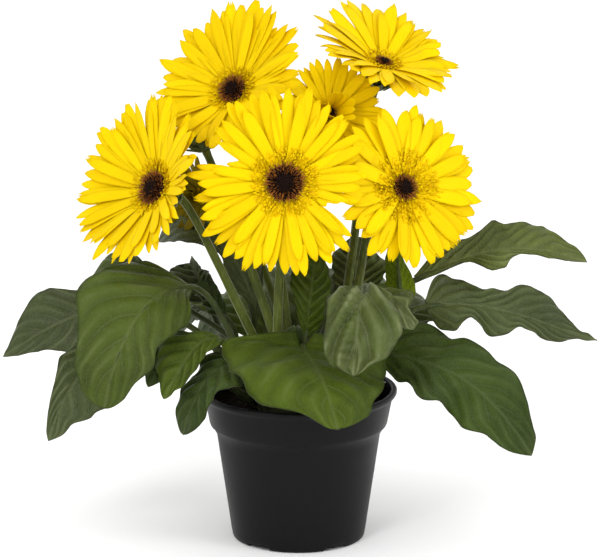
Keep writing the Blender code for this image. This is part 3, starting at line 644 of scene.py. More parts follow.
def scape_path(head, back):
    """The stalk's middle, from a straight end on the crown to a straight end under the head."""
    foot, out = crown_point(*head["seat"])
    start = foot + out * (GAP + STRAIGHT_END)
    facing = direction(*head["faces"])
    end = Vector(head["place"]) * MM - facing * (back + STRAIGHT_END)
    span = (end - start).length
    lean = (out * 0.3 + (end - start).normalized() * 0.7).normalized()
    bend = head["bend"] * MM
    return start, start + lean * span * 0.40, end - facing * bend, end


# ---------------------------------------------------------------- mesh building


class Shape:
    """Gathers the points and faces of one mesh, with each face's material and pattern place."""

    def __init__(self):
        self.points = []
        self.faces = []
        self.skins = []
        self.places = []

    def face(self, corners, skin=0, places=None, turn=False):
        if turn:
            corners = corners[::-1]
            places = places[::-1] if places else None
        self.faces.append(corners)
        self.skins.append(skin)
        self.places.append(places or [(0.0, 0.0)] * len(corners))

    def sheet(self, grid, skin=0, place=None, turn=False, loop=False):
        """A grid of points as quads. A loop joins each row's end to its start."""
        first = len(self.points)
        columns = len(grid[0])
        for row in grid:
            self.points.extend(row)
        spans = columns if loop else columns - 1
        for i in range(len(grid) - 1):
            low = first + i * columns
            for j in range(spans):
                k = (j + 1) % columns
                corners = [low + j, low + k, low + columns + k, low + columns + j]
                places = None
                if place:
                    places = [place(i, j, j), place(i, j + 1, j), place(i + 1, j + 1, j),
                              place(i + 1, j, j)]
                self.face(corners, skin, places, turn)
        return first

    def rim(self, top, under, rows, columns, skin=0, places=None):
        """Joins the borders of two sheets of rows by columns cells, laid face to face."""
        wide = columns + 1
        ring = list(range(wide))
        ring += [i * wide + columns for i in range(1, rows + 1)]
        ring += [rows * wide + j for j in range(columns - 1, -1, -1)]
        ring += [i * wide for i in range(rows - 1, 0, -1)]
        for a, b in zip(ring, ring[1:] + ring[:1]):
            self.face([top + b, top + a, under + a, under + b], skin, places)

    def tube(self, points, radii, sides, skin, relief):
        """A closed tube along the points. Relief scales the radius round and along it."""
        grid = []
        side = None
        for i, point in enumerate(points):
            before = points[max(i - 1, 0)]
            after = points[min(i + 1, len(points) - 1)]
            along = (after - before).normalized()
            if side is None:
                side = Vector((0, 0, 1)).cross(along)
                side = side if side.length > 0.1 else Vector((1, 0, 0)).cross(along)
            side = (side - along * side.dot(along)).normalized()
            other = along.cross(side)
            ring = []
            for j in range(sides):
                angle = 2 * math.pi * j / sides
                reach = radii[i] * relief(i, angle)
                ring.append(point + (side * math.cos(angle) + other * math.sin(angle)) * reach)
            grid.append(ring)
        first = self.sheet(grid, skin, loop=True)
        low = len(self.points)
        self.points += [points[0].copy(), points[-1].copy()]
        last = first + (len(points) - 1) * sides
        for j in range(sides):
            k = (j + 1) % sides
            self.face([low, first + k, first + j], skin)
            self.face([low + 1, last + j, last + k], skin)

    def lathe(self, profile, steps, skin=0, moved=None):
        """A closed solid of revolution. The profile runs from the axis to the axis."""
        ends = len(self.points)
        self.points += [Vector((0, 0, profile[0][1])), Vector((0, 0, profile[-1][1]))]
        grid = []
        for r, z in profile[1:-1]:
            ring = []
            for j in range(steps):
                angle = 2 * math.pi * j / steps
                rr, zz = moved(r, z, angle) if moved else (r, z)
                ring.append(Vector((rr * math.cos(angle), rr * math.sin(angle), zz)))
            grid.append(ring)
        first = self.sheet(grid, skin, turn=True, loop=True)
        last = first + (len(grid) - 1) * steps
        for j in range(steps):
            k = (j + 1) % steps
            self.face([ends, first + j, first + k], skin)
            self.face([ends + 1, last + k, last + j], skin)

    def mesh(self, name, matrix=None):
        made = bpy.data.meshes.new(name)
        points = [matrix @ p for p in self.points] if matrix else self.points
        made.from_pydata([tuple(p) for p in points], [], self.faces)
        made.polygons.foreach_set("use_smooth", [True] * len(self.faces))
        made.polygons.foreach_set("material_index", self.skins)
        layer = made.uv_layers.new(name="Blade")
        flat = [c for face in self.places for place in face for c in place]
        layer.data.foreach_set("uv", flat)
        made.update()
        return made


def link(name, mesh, skins=()):
    made = bpy.data.objects.new(name, mesh)
    bpy.context.scene.collection.objects.link(made)
    for skin in skins:
        made.data.materials.append(skin)
    return made


def finish_piece(piece, slot, *nodes):
    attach(piece, "root")
    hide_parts(*nodes)


def plain_mesh(thing, name):
    """The evaluated object as a mesh of its own, with every modifier's result in it."""
    graph = bpy.context.evaluated_depsgraph_get()
    mesh = bpy.data.meshes.new_from_object(thing.evaluated_get(graph), depsgraph=graph)
    mesh.name = name
    bpy.data.objects.remove(thing, do_unlink=True)
    return mesh


# ---------------------------------------------------------------- materials


def node(tree, kind, inputs=None, **settings):
    """Adds a node. An input is a value, or the socket that feeds it."""
    made = tree.nodes.new(kind)
    for key, value in settings.items():
        setattr(made, key, value)
    for key, value in (inputs or {}).items():
        if isinstance(value, bpy.types.NodeSocket):
            tree.links.new(value, made.inputs[key])
        else:
            made.inputs[key].default_value = value
    return made


def calc(tree, operation, a, b=0.0):
    return node(tree, "ShaderNodeMath", {0: a, 1: b}, operation=operation).outputs[0]


def times(tree, a, b):
    return calc(tree, "MULTIPLY", a, b)


def plus(tree, a, b):
    return calc(tree, "ADD", a, b)


def fade(tree, value, low, high, start=0.0, end=1.0):
    """The value brought smoothly from start at low to end at high."""
    made = node(tree, "ShaderNodeMapRange", {
        "Value": value, "From Min": low, "From Max": high, "To Min": start, "To Max": end})
    made.interpolation_type = "SMOOTHSTEP"
    return made.outputs[0]


def blend_colour(tree, share, a, b):
    """Input numbers of the mix node: 0 is the share, 6 and 7 are its two colours."""
    return node(tree, "ShaderNodeMix", {0: share, 6: a, 7: b}, data_type="RGBA").outputs[2]


def solid(colour, scale=1.0):
    return (colour[0] * scale, colour[1] * scale, colour[2] * scale, 1.0)


def shifted(colour, scales, lift=(0.0, 0.0, 0.0)):
    return (*(c * scale + more for c, scale, more in zip(colour, scales, lift)), 1.0)


def blade_places(tree):
    """The two pattern places that a piece stores: across a blade and along it."""
    parts = node(tree, "ShaderNodeSeparateXYZ", {
        0: node(tree, "ShaderNodeUVMap", uv_map="Blade").outputs[0]})
    return parts.outputs[0], parts.outputs[1]


def streaks(tree, spot, scales, detail):
    """Noise drawn out along one direction by unequal scales."""
    return node(tree, "ShaderNodeTexNoise", {
        "Vector": node(tree, "ShaderNodeMapping", {"Vector": spot, "Scale": scales}).outputs[0],
        "Scale": 1.0, "Detail": detail}).outputs["Fac"]


def new_skin(name, roughness, specular, sheen=0.0, sheen_roughness=0.4, sheen_tint=(1, 1, 1)):
    made = bpy.data.materials.new(name)
    made.use_nodes = True
    tree = made.node_tree
    shader = tree.nodes["Principled BSDF"]
    shader.inputs["Roughness"].default_value = roughness
    shader.inputs["Specular IOR Level"].default_value = specular
    shader.inputs["Sheen Weight"].default_value = sheen
    shader.inputs["Sheen Roughness"].default_value = sheen_roughness
    shader.inputs["Sheen Tint"].default_value = (*sheen_tint, 1.0)
    spot = node(tree, "ShaderNodeTexCoord").outputs["Object"]
    return made, tree, shader, spot


def grain(tree, spot, scale, detail=3.0, roughness=0.5):
    made = node(tree, "ShaderNodeTexNoise", {
        "Vector": spot, "Scale": scale, "Detail": detail, "Roughness": roughness})
    return made.outputs["Fac"]


def bump(tree, shader, height, distance, strength=1.0):
    made = node(tree, "ShaderNodeBump", {
        "Height": height, "Distance": distance, "Strength": strength})
    tree.links.new(made.outputs[0], shader.inputs["Normal"])


def plastic_skin(colour):
    """Satin moulded plastic with a fine grain, rubbed areas and a little dust."""
    made, tree, shader, spot = new_skin("moulded_plastic", 0.42, 0.12)
    cloud = grain(tree, spot, 22.0, 4.0)
    dust = fade(tree, grain(tree, spot, 260.0, 5.0, 0.7), 0.60, 0.78)
    base = blend_colour(tree, cloud, solid(colour, 0.75), solid(colour, 1.25))
    base = blend_colour(tree, times(tree, dust, 0.10), base, (0.055, 0.048, 0.042, 1))
    tree.links.new(base, shader.inputs["Base Color"])
    tree.links.new(fade(tree, cloud, 0.3, 0.7, 0.38, 0.50), shader.inputs["Roughness"])
    pores = node(tree, "ShaderNodeTexNoise", {"Vector": spot, "Scale": 1500.0}).outputs["Fac"]
    bump(tree, shader, plus(tree, pores, times(tree, cloud, 2.0)), 0.05 * MM)
    return made


def mix_skin(name, colour, scale):
    """Damp peat: dark crumbs with lighter fibres."""
    made, tree, shader, spot = new_skin(name, 0.92, 0.18)
    cloud = grain(tree, spot, 420.0, 6.0, 0.7)
    fibre = streaks(tree, spot, (300.0, 1500.0, 700.0), 3.0)
    base = blend_colour(tree, cloud, solid(colour, 0.35 * scale), solid(colour, 1.9 * scale))
    pale = times(tree, fade(tree, fibre, 0.66, 0.76), 0.45)
    tree.links.new(blend_colour(tree, pale, base, (0.085, 0.045, 0.022, 1)),
                   shader.inputs["Base Color"])
    bump(tree, shader, plus(tree, cloud, fibre), 0.8 * MM)
    return made


def leaf_skin(name, colour, specular, down):
    """Upper face: veins from the piece's own places, a fine net between them and down, painted
    shade in the vein valleys and a painted sheen on the crests between them.
    """
    made, tree, shader, spot = new_skin(
        "leaf_" + name, 0.42, specular, sheen=0.04, sheen_roughness=0.35,
        sheen_tint=(0.80, 0.90, 0.72))
    across, phase = blade_places(tree)
    near = calc(tree, "ABSOLUTE", calc(
        tree, "SUBTRACT", calc(tree, "FRACT", plus(tree, phase, 100.5)), 0.5))
    side_vein = fade(tree, near, 0.010, 0.085, 0.8, 0.0)
    midrib = fade(tree, across, 0.006, 0.036, 1.0, 0.0)
    outer = fade(tree, across, 0.10, 0.60, 1.0, 0.15)
    # Painted sheen: pale patches, strongest on the crests between the veins, stand in for the
    # sheen of the down.
    crest_sheen = fade(tree, near, 0.30, 0.50)
    edge = node(tree, "ShaderNodeAttribute", attribute_name="rim").outputs["Fac"]
    margin = fade(tree, edge, 0.92, 0.99)
    vein = calc(tree, "MAXIMUM", times(tree, side_vein, outer), midrib)
    # Painted shade: the leaf is darker in the valleys along the side veins.
    valley_shade = fade(tree, near, 0.0, 0.30, 1.0, 0.0)
    net = node(tree, "ShaderNodeTexVoronoi", {"Vector": spot, "Scale": 380.0},
               feature="DISTANCE_TO_EDGE").outputs[0]
    fine = fade(tree, net, 0.02, 0.16, 1.0, 0.0)
    cloud = grain(tree, spot, 60.0, 5.0, 0.6)
    speck = grain(tree, spot, 900.0, 2.0)
    mottle = plus(tree, times(tree, grain(tree, spot, 17.0, 2.0), 0.6), times(tree, cloud, 0.4))
    sheen_patch = fade(tree, grain(tree, spot, 31.0, 3.0), 0.46, 0.66)
    sheen_patch = times(tree, plus(tree, 0.25, sheen_patch), plus(tree, 0.2, crest_sheen))
    # The whitish lift of the pale colour: the down's grey on the veins and net, and painted
    # sheen in the patches.
    hoar_and_sheen = 0.024 + 0.024 * down * down
    pale = shifted(colour, (1.7, 1.5, 2.0), (hoar_and_sheen, hoar_and_sheen, hoar_and_sheen))
    base = blend_colour(tree, fade(tree, mottle, 0.36, 0.64), solid(colour, 0.66),
                        shifted(colour, (1.34, 1.28, 1.9)))
    # down scales the grey of the down, the painted shade in the vein valleys and the painted
    # sheen patches.
    for share, strength, shade in (
            (valley_shade, 0.25 + 0.4 * down, solid(colour, 0.50)), (sheen_patch, down, pale),
            (fine, 0.14, pale), (vein, 0.45, pale), (speck, 0.08, pale),
            (margin, 0.55, solid(colour, 0.35))):
        base = blend_colour(tree, times(tree, share, strength), base, shade)
    tree.links.new(base, shader.inputs["Base Color"])
    tree.links.new(fade(tree, cloud, 0.3, 0.7, 0.34, 0.48), shader.inputs["Roughness"])
    height = times(tree, vein, -0.8)
    for relief, size in ((fine, -0.35), (cloud, 2.2), (speck, 0.35)):
        height = plus(tree, height, times(tree, relief, size))
    bump(tree, shader, height, 0.40 * MM, 0.9)
    return made


def downy_skin(name, colour, streak, sheen):
    """Green skin with fine streaks along it and short down."""
    made, tree, shader, spot = new_skin(
        name, 0.50, 0.22, sheen=sheen, sheen_roughness=0.3, sheen_tint=(0.85, 0.92, 0.60))
    cloud = grain(tree, spot, 55.0, 4.0)
    down = grain(tree, spot, 1500.0, 2.0)
    base = blend_colour(tree, fade(tree, cloud, 0.3, 0.7), solid(colour, 0.72),
                        shifted(colour, (1.3, 1.22, 1.5)))
    if streak:
        lines = fade(tree, streaks(tree, spot, (1100.0, 1100.0, 60.0), 2.0), 0.50, 0.70)
        base = blend_colour(tree, times(tree, lines, streak), base,
                            shifted(colour, (2.2, 2.0, 2.4), (0.02, 0.02, 0.01)))
    tree.links.new(base, shader.inputs["Base Color"])
    bump(tree, shader, plus(tree, down, times(tree, cloud, 2.0)), 0.12 * MM)
    return made


def petal_skin(name, colour):
    """A petal: fine grooves along it from the piece's own places, painted shade in them and at
    its foot, and a silky face.
    """
    made, tree, shader, spot = new_skin(
        name, 0.50, 0.04, sheen=0.02, sheen_roughness=0.5, sheen_tint=(1.0, 0.85, 0.1))
    shader.inputs["Subsurface Weight"].default_value = 0.12
    shader.inputs["Subsurface Radius"].default_value = (1.0, 0.75, 0.10)
    shader.inputs["Subsurface Scale"].default_value = 2.0 * MM
    across, along = blade_places(tree)
    wave = calc(tree, "SINE", times(tree, across, 2 * math.pi * 3.5))
    groove = fade(tree, wave, 0.35, 1.0)
    fine = calc(tree, "SINE", times(tree, across, 2 * math.pi * 15))
    cloud = grain(tree, spot, 60.0, 3.0)
    base = blend_colour(
        tree, fade(tree, cloud, 0.3, 0.7), solid(colour, 0.975), solid(colour, 1.02))
    # Painted shade: a darker, more orange colour in the grooves along the petal and at its foot
    # by the eye.
    shade = shifted(colour, (0.95, 0.87, 0.0))
    base = blend_colour(tree, times(tree, groove, 0.12), base, shade)
    base = blend_colour(tree, fade(tree, along, 0.0, 0.25, 0.30, 0.0), base, shade)
    tree.links.new(base, shader.inputs["Base Color"])
    height = calc(tree, "SUBTRACT", times(tree, fine, 0.15), groove)
    bump(tree, shader, height, 0.16 * MM, 0.25)
    return made


def floret_skin(name, colour, spread=0.4, roughness=0.75, specular=0.10, sheen=0.05):
    """Small velvety florets with a colour that varies from one to the next."""
    made, tree, shader, spot = new_skin(
        name, roughness, specular, sheen=sheen, sheen_roughness=0.5,
        sheen_tint=(0.6, 0.25, 0.1))
    cloud = grain(tree, spot, 500.0, 3.0)
    base = blend_colour(tree, fade(tree, cloud, 0.35, 0.65), solid(colour, 1 - spread),
                        solid(colour, 1 + spread))
    tree.links.new(base, shader.inputs["Base Color"])
    bump(tree, shader, cloud, 0.2 * MM, 0.6)
    return made


def floor_skin():
    """Smooth pale studio paper."""
    made, tree, shader, spot = new_skin("studio_paper", 0.85, 0.10)
    cloud = grain(tree, spot, 3.0, 3.0)
    tree.links.new(blend_colour(tree, cloud, (0.93, 0.93, 0.93, 1), (0.96, 0.96, 0.96, 1)),
                   shader.inputs["Base Color"])
    return made


# ---------------------------------------------------------------- repeated shapes


def unit_blade(name, rows, columns, widths, form, thickness):
    """A closed strap one metre long along +X, for scaling. The form gives the height and the
    shift along it at x and v across."""
    shape = Shape()
    top, under = [], []
    for i in range(rows + 1):
        x = i / rows
        x = 0.5 * x + 0.5 * math.sin(math.pi * x / 2)
        line, back = [], []
        for j in range(columns + 1):
            v = 2 * j / columns - 1
            z, shift = form(x, v)
            point = Vector((x + shift, v * 0.5 * table_value(widths, x), z))
            line.append(point)
            edge = 0.35 + 0.65 * (1 - v * v) * (1 - 0.7 * x ** 6)
            back.append(point - Vector((0, 0, thickness * edge)))
        top.append(line)
        under.append(back)

    def place(i, j, _):
        return j / columns, i / rows

    first = shape.sheet(top, 0, place)
    low = shape.sheet(under, 0, place, turn=True)
    shape.rim(first, low, rows, columns, 0, [(0.0, 0.5)] * 4)
    return shape.mesh(name)


def shape_collection(name, meshes):
    """Shapes to be repeated, in a collection of their own."""
    made = bpy.data.collections.new(name)
    bpy.context.scene.collection.children.link(made)
    for i, mesh in enumerate(meshes):
        thing = bpy.data.objects.new("%s_%02d" % (name, i), mesh)
        made.objects.link(thing)
    return made


def drop_collection(collection):
    for thing in list(collection.objects):
        bpy.data.objects.remove(thing, do_unlink=True)
    bpy.data.collections.remove(collection)


PETAL_WIDTHS = (0.34, 0.50, 0.64, 0.76, 0.86, 0.93, 0.98, 1.0, 0.97, 0.80, 0.20)
FRILL_WIDTHS = (0.6, 0.8, 0.95, 1.0, 0.8, 0.2)
SPIKE_WIDTHS = (0.9, 1.0, 0.8, 0.55, 0.3, 0.06)
BRACT_WIDTHS = (0.7, 0.95, 1.0, 0.9, 0.62, 0.06)
YOUNG_LEAF_WIDTHS = (0.16, 0.14, 0.16, 0.45, 0.8, 1.0, 0.98, 0.80, 0.5, 0.08)


def blades(name, rows, columns, widths, forms, thickness):
    """One strap of the same outline for each form. The widths run from foot to tip."""
    return [unit_blade("%s_%d" % (name, i), rows, columns, widths, form, thickness)
            for i, form in enumerate(forms)]


def petal_meshes():
    """Four straps: plain, notched at the tip, twisted, and with a lifted tip."""
    def plain(x, v):
        return 0.06 * v * v * (1 - 0.4 * x) - 0.40 * x ** 3 + 0.10 * math.sin(math.pi * x), 0.0

    def notched(x, v):
        z, _ = plain(x, v)
        teeth = 0.030 * math.cos(2 * math.pi * v) * ramp(x, 0.80, 1.0)
        return z + 0.05 * v, teeth - 0.02

    def twisted(x, v):
        z, _ = plain(x, v)
        return z + 0.12 * v * x * x + 0.06 * x, 0.0

    def lifted(x, v):
        z, _ = plain(x, v)
        return z + 0.50 * x ** 4 - 0.12 * v * x, -0.015 * v * ramp(x, 0.8, 1.0)

    return blades("petal", 8, 4, PETAL_WIDTHS, (plain, notched, twisted, lifted), 0.05)


def frill_meshes():
    """Short narrow straps that stand up round the eye."""
    def curled(x, v):
        return 0.25 * v * v - 0.9 * x * x, 0.0

    def raised(x, v):
        return 0.30 * v * v + 0.5 * x * x, 0.0

    def bent(x, v):
        return 0.20 * v * v + 0.8 * math.sin(3.0 * x), -0.05 * v

    return blades("frill", 4, 2, FRILL_WIDTHS, (curled, raised, bent), 0.12)


def spike_meshes():
    """Open florets of the eye: a narrow lip with a hooked point."""
    def hooked(x, v):
        return 0.2 * v * v + 0.9 * math.sin(2.6 * x) * x, 0.0

    def flat(x, v):
        return 0.2 * v * v - 0.5 * x * x, 0.0

    return blades("spike", 4, 2, SPIKE_WIDTHS, (hooked, flat), 0.25)


def bract_meshes():
    def hugging(x, v):
        return -0.22 * v * v - 0.35 * x * x, 0.0

    def tipped(x, v):
        return -0.20 * v * v - 0.20 * x * x, 0.03 * v

    return blades("bract", 6, 4, BRACT_WIDTHS, (hugging, tipped), 0.12)


def young_leaf_meshes():
    """Small unfolding leaves on short stalks, folded along the middle."""
    def folded(x, v):
        wave = 0.05 * math.sin(17 * x) * v * v
        return 0.34 * abs(v) ** 1.3 * ramp(x, 0.2, 0.5) - 0.35 * x ** 3 + wave, 0.0

    def rolled(x, v):
        wave = 0.05 * math.sin(14 * x + 2 * v)
        return 0.26 * v * v * ramp(x, 0.2, 0.5) + 0.30 * math.sin(2.4 * x) + wave, 0.0

    return blades("young", 14, 8, YOUNG_LEAF_WIDTHS, (folded, rolled), 0.05)


def bead_mesh(name, profile, sides, wobble=0.0):
    """A small closed bead of revolution about +X, for repeating."""
    shape = Shape()

    def moved(r, z, angle):
        return r * (1 + wobble * math.sin(3 * angle + 9 * z)), z

    shape.lathe(profile, sides, 0, moved)
    return shape.mesh(name, Matrix.Rotation(math.pi / 2, 4, "Y"))


# ---------------------------------------------------------------- geometry nodes


def add_input(tree, kind, name, value=None):
    made = tree.interface.new_socket(name=name, in_out="INPUT", socket_type="NodeSocket" + kind)
    if value is not None:
        made.default_value = value


def open_tree(name):
    """A tree that takes the base mesh and the collection of shapes to repeat."""
    tree = bpy.data.node_groups.new(name, "GeometryNodeTree")
    for side in ("INPUT", "OUTPUT"):
        tree.interface.new_socket(
            name="Geometry", in_out=side, socket_type="NodeSocketGeometry")
    add_input(tree, "Collection", "Shapes")
    return tree


def random_value(tree, kind, low, high, seed):
    """Input and output numbers of the random value node differ by kind."""
    first, result = {"FLOAT_VECTOR": (0, 0), "FLOAT": (2, 1), "INT": (4, 2)}[kind]
    return node(tree, "FunctionNodeRandomValue", {first: low, first + 1: high, "Seed": seed},
                data_type=kind).outputs[result]


def place_shapes(tree, given, points, most, seed, rotation, scale):
    """Puts one shape of the collection, picked by the seed, on each point."""
    shapes = node(tree, "GeometryNodeCollectionInfo", {
        "Collection": given["Shapes"], "Separate Children": True, "Reset Children": True})
    turned = node(tree, "FunctionNodeEulerToRotation", {0: rotation}).outputs[0]
    return node(tree, "GeometryNodeInstanceOnPoints", {
        "Points": points, "Instance": shapes.outputs[0], "Pick Instance": True,
        "Instance Index": random_value(tree, "INT", 0, most, seed), "Rotation": turned,
        "Scale": scale}).outputs[0]


def close_tree(tree, given, made):
    """Joins what was made to the base mesh as the tree's result."""
    both = node(tree, "GeometryNodeJoinGeometry")
    tree.links.new(made, both.inputs[0])
    tree.links.new(given["Geometry"], both.inputs[0])
    node(tree, "NodeGroupOutput", {0: both.outputs[0]})
    return tree


def whorl_tree():
    """Shapes set out about the axis: each one a fixed turn on from the last, from the first
    radius to the last, leaning by its place, with seeded spreads."""
    tree = open_tree("Whorl")
    add_input(tree, "Int", "Count", 20)
    for name, value in (
            ("Turn step", 0.3), ("Turn spread", 0.05), ("Spin", 0.0), ("First radius", 0.005),
            ("Last radius", 0.01), ("Height", 0.0), ("Fall", 0.0), ("Length", 0.05),
            ("Length spread", 0.05), ("Width", 0.008), ("Width spread", 0.1),
            ("First lean", 0.2), ("Last lean", 0.2), ("Lean spread", 0.05),
            ("Roll spread", 0.1)):
        add_input(tree, "Float", name, value)
    add_input(tree, "Int", "Seed", 1)
    for name in ("Main skin", "Second skin", "Third skin"):
        add_input(tree, "Material", name)
    given = node(tree, "NodeGroupInput").outputs

    def minus(a, b):
        return calc(tree, "SUBTRACT", a, b)

    def seeded(offset):
        return plus(tree, given["Seed"], offset)

    def spread(size, offset):
        return random_value(tree, "FLOAT", times(tree, size, -1.0), size, seeded(offset))

    points = node(tree, "GeometryNodePoints", {"Count": given["Count"]}).outputs[0]
    index = node(tree, "GeometryNodeInputIndex").outputs[0]
    share = calc(tree, "DIVIDE", plus(tree, index, 0.5), given["Count"])
    first = times(tree, given["First radius"], given["First radius"])
    last = times(tree, given["Last radius"], given["Last radius"])
    square = plus(tree, first, times(tree, share, minus(last, first)))
    reach = calc(tree, "SQRT", square)
    turn = plus(tree, times(tree, index, given["Turn step"]), given["Spin"])
    turn = plus(tree, turn, spread(given["Turn spread"], 11))
    lost = calc(tree, "DIVIDE", square, calc(tree, "MAXIMUM", last, 1e-9))
    place = node(tree, "ShaderNodeCombineXYZ", {
        0: times(tree, reach, calc(tree, "COSINE", turn)),
        1: times(tree, reach, calc(tree, "SINE", turn)),
        2: minus(given["Height"], times(tree, given["Fall"], lost))}).outputs[0]
    points = node(tree, "GeometryNodeSetPosition", {
        "Geometry": points, "Position": place}).outputs[0]
    lean = times(tree, share, minus(given["Last lean"], given["First lean"]))
    lean = plus(tree, plus(tree, given["First lean"], lean), spread(given["Lean spread"], 23))
    euler = node(tree, "ShaderNodeCombineXYZ", {
        0: spread(given["Roll spread"], 37), 1: times(tree, lean, -1.0), 2: turn}).outputs[0]
    long = times(tree, given["Length"], plus(tree, 1.0, spread(given["Length spread"], 41)))
    wide = times(tree, given["Width"], plus(tree, 1.0, spread(given["Width spread"], 53)))
    scale = node(tree, "ShaderNodeCombineXYZ", {0: long, 1: wide, 2: wide}).outputs[0]
    made = place_shapes(tree, given, points, 40, seeded(67), euler, scale)
    made = node(tree, "GeometryNodeStoreNamedAttribute", {
        "Geometry": made, "Name": "tint", "Value": random_value(tree, "INT", 0, 3, seeded(79))},
        data_type="INT", domain="INSTANCE").outputs[0]
    made = node(tree, "GeometryNodeRealizeInstances", {"Geometry": made}).outputs[0]
    tint = node(tree, "GeometryNodeInputNamedAttribute", {"Name": "tint"},
                data_type="INT").outputs[0]
    for rule, level, skin in (("GREATER_EQUAL", 0, "Main skin"), ("EQUAL", 2, "Second skin"),
                              ("EQUAL", 3, "Third skin")):
        chosen = node(tree, "FunctionNodeCompare", {2: tint, 3: level},
                      data_type="INT", operation=rule).outputs[0]
        made = node(tree, "GeometryNodeSetMaterial", {
            "Geometry": made, "Selection": chosen, "Material": given[skin]}).outputs[0]
    made = node(tree, "GeometryNodeRemoveAttribute", {
        "Geometry": made, "Name": "tint"}).outputs[0]
    return close_tree(tree, given, made)


def scatter_tree():
    """Shapes strewn over the upward faces of a mesh, with seeded turns and sizes."""
    tree = open_tree("Strewn crumbs")
    add_input(tree, "Float", "Density", 1000.0)
    add_input(tree, "Float", "Smallest", 0.001)
    add_input(tree, "Float", "Largest", 0.003)
    add_input(tree, "Int", "Seed", 1)
    add_input(tree, "Material", "Skin")
    given = node(tree, "NodeGroupInput").outputs
    normal = node(tree, "GeometryNodeInputNormal").outputs[0]
    up = node(tree, "ShaderNodeSeparateXYZ", {0: normal}).outputs[2]
    upward = node(tree, "FunctionNodeCompare", {0: up, 1: 0.5}, data_type="FLOAT",
                  operation="GREATER_THAN").outputs[0]
    spots = node(tree, "GeometryNodeDistributePointsOnFaces", {
        "Mesh": given["Geometry"], "Selection": upward, "Density": given["Density"],
        "Seed": given["Seed"]}).outputs[0]
    turn = random_value(tree, "FLOAT_VECTOR", (0, 0, 0), (6.283, 6.283, 6.283), 5)
    size = random_value(tree, "FLOAT", given["Smallest"], given["Largest"], 7)
    made = place_shapes(tree, given, spots, 20, 9, turn, size)
    made = node(tree, "GeometryNodeRealizeInstances", {"Geometry": made}).outputs[0]
    made = node(tree, "GeometryNodeSetMaterial", {
        "Geometry": made, "Material": given["Skin"]}).outputs[0]
    return close_tree(tree, given, made)


def grow(thing, tree, **values):
    """Adds the tree as a modifier. Underscores in the names stand for spaces."""
    made = thing.modifiers.new(tree.name, "NODES")
    made.node_group = tree
    keys = {item.name: item.identifier for item in tree.interface.items_tree
            if item.item_type == "SOCKET" and item.in_out == "INPUT"}
    for name, value in values.items():
        made[keys[name.replace("_", " ")]] = value


def kept_tree(name, maker):
    return bpy.data.node_groups.get(name) or maker()


def whorl(thing, shapes, skins, seed, count, step, radii, lean, length, width, spreads,
          heights, spin=0.0):
    """One ring or field of shapes, from the first radius and height to the last. Angles are in
    degrees and lengths in millimetres. Spreads are those of turn, lean and roll in degrees,
    then of length and width as shares."""
    first, last = radii
    share = (first / last) ** 2
    fall = (heights[0] - heights[1]) / (1 - share) if share < 1 else 0.0
    grow(thing, kept_tree("Whorl", whorl_tree), Shapes=shapes, Count=count,
         Turn_step=math.radians(step), Turn_spread=math.radians(spreads[0]),
         Spin=math.radians(spin), First_radius=first * MM, Last_radius=last * MM,
         Height=(heights[0] + fall * share) * MM, Fall=fall * MM, Length=length * MM,
         Length_spread=spreads[3], Width=width * MM, Width_spread=spreads[4],
         First_lean=math.radians(lean[0]), Last_lean=math.radians(lean[1]),
         Lean_spread=math.radians(spreads[1]), Roll_spread=math.radians(spreads[2]),
         Seed=seed, Main_skin=skins[0], Second_skin=skins[-2] if len(skins) > 1 else skins[0],
         Third_skin=skins[-1])


def close_piece(base, name, slot, part, matrix=None, trim=None):
    """Turns the grown object to a plain mesh that takes the place of the part's node, which is
    hidden.
    """
    mesh = plain_mesh(base, name)
    if trim:
        trim_rays(mesh, trim)
    if matrix:
        mesh.transform(matrix)
    finish_piece(link(name, mesh), slot, part)


# ---------------------------------------------------------------- operators


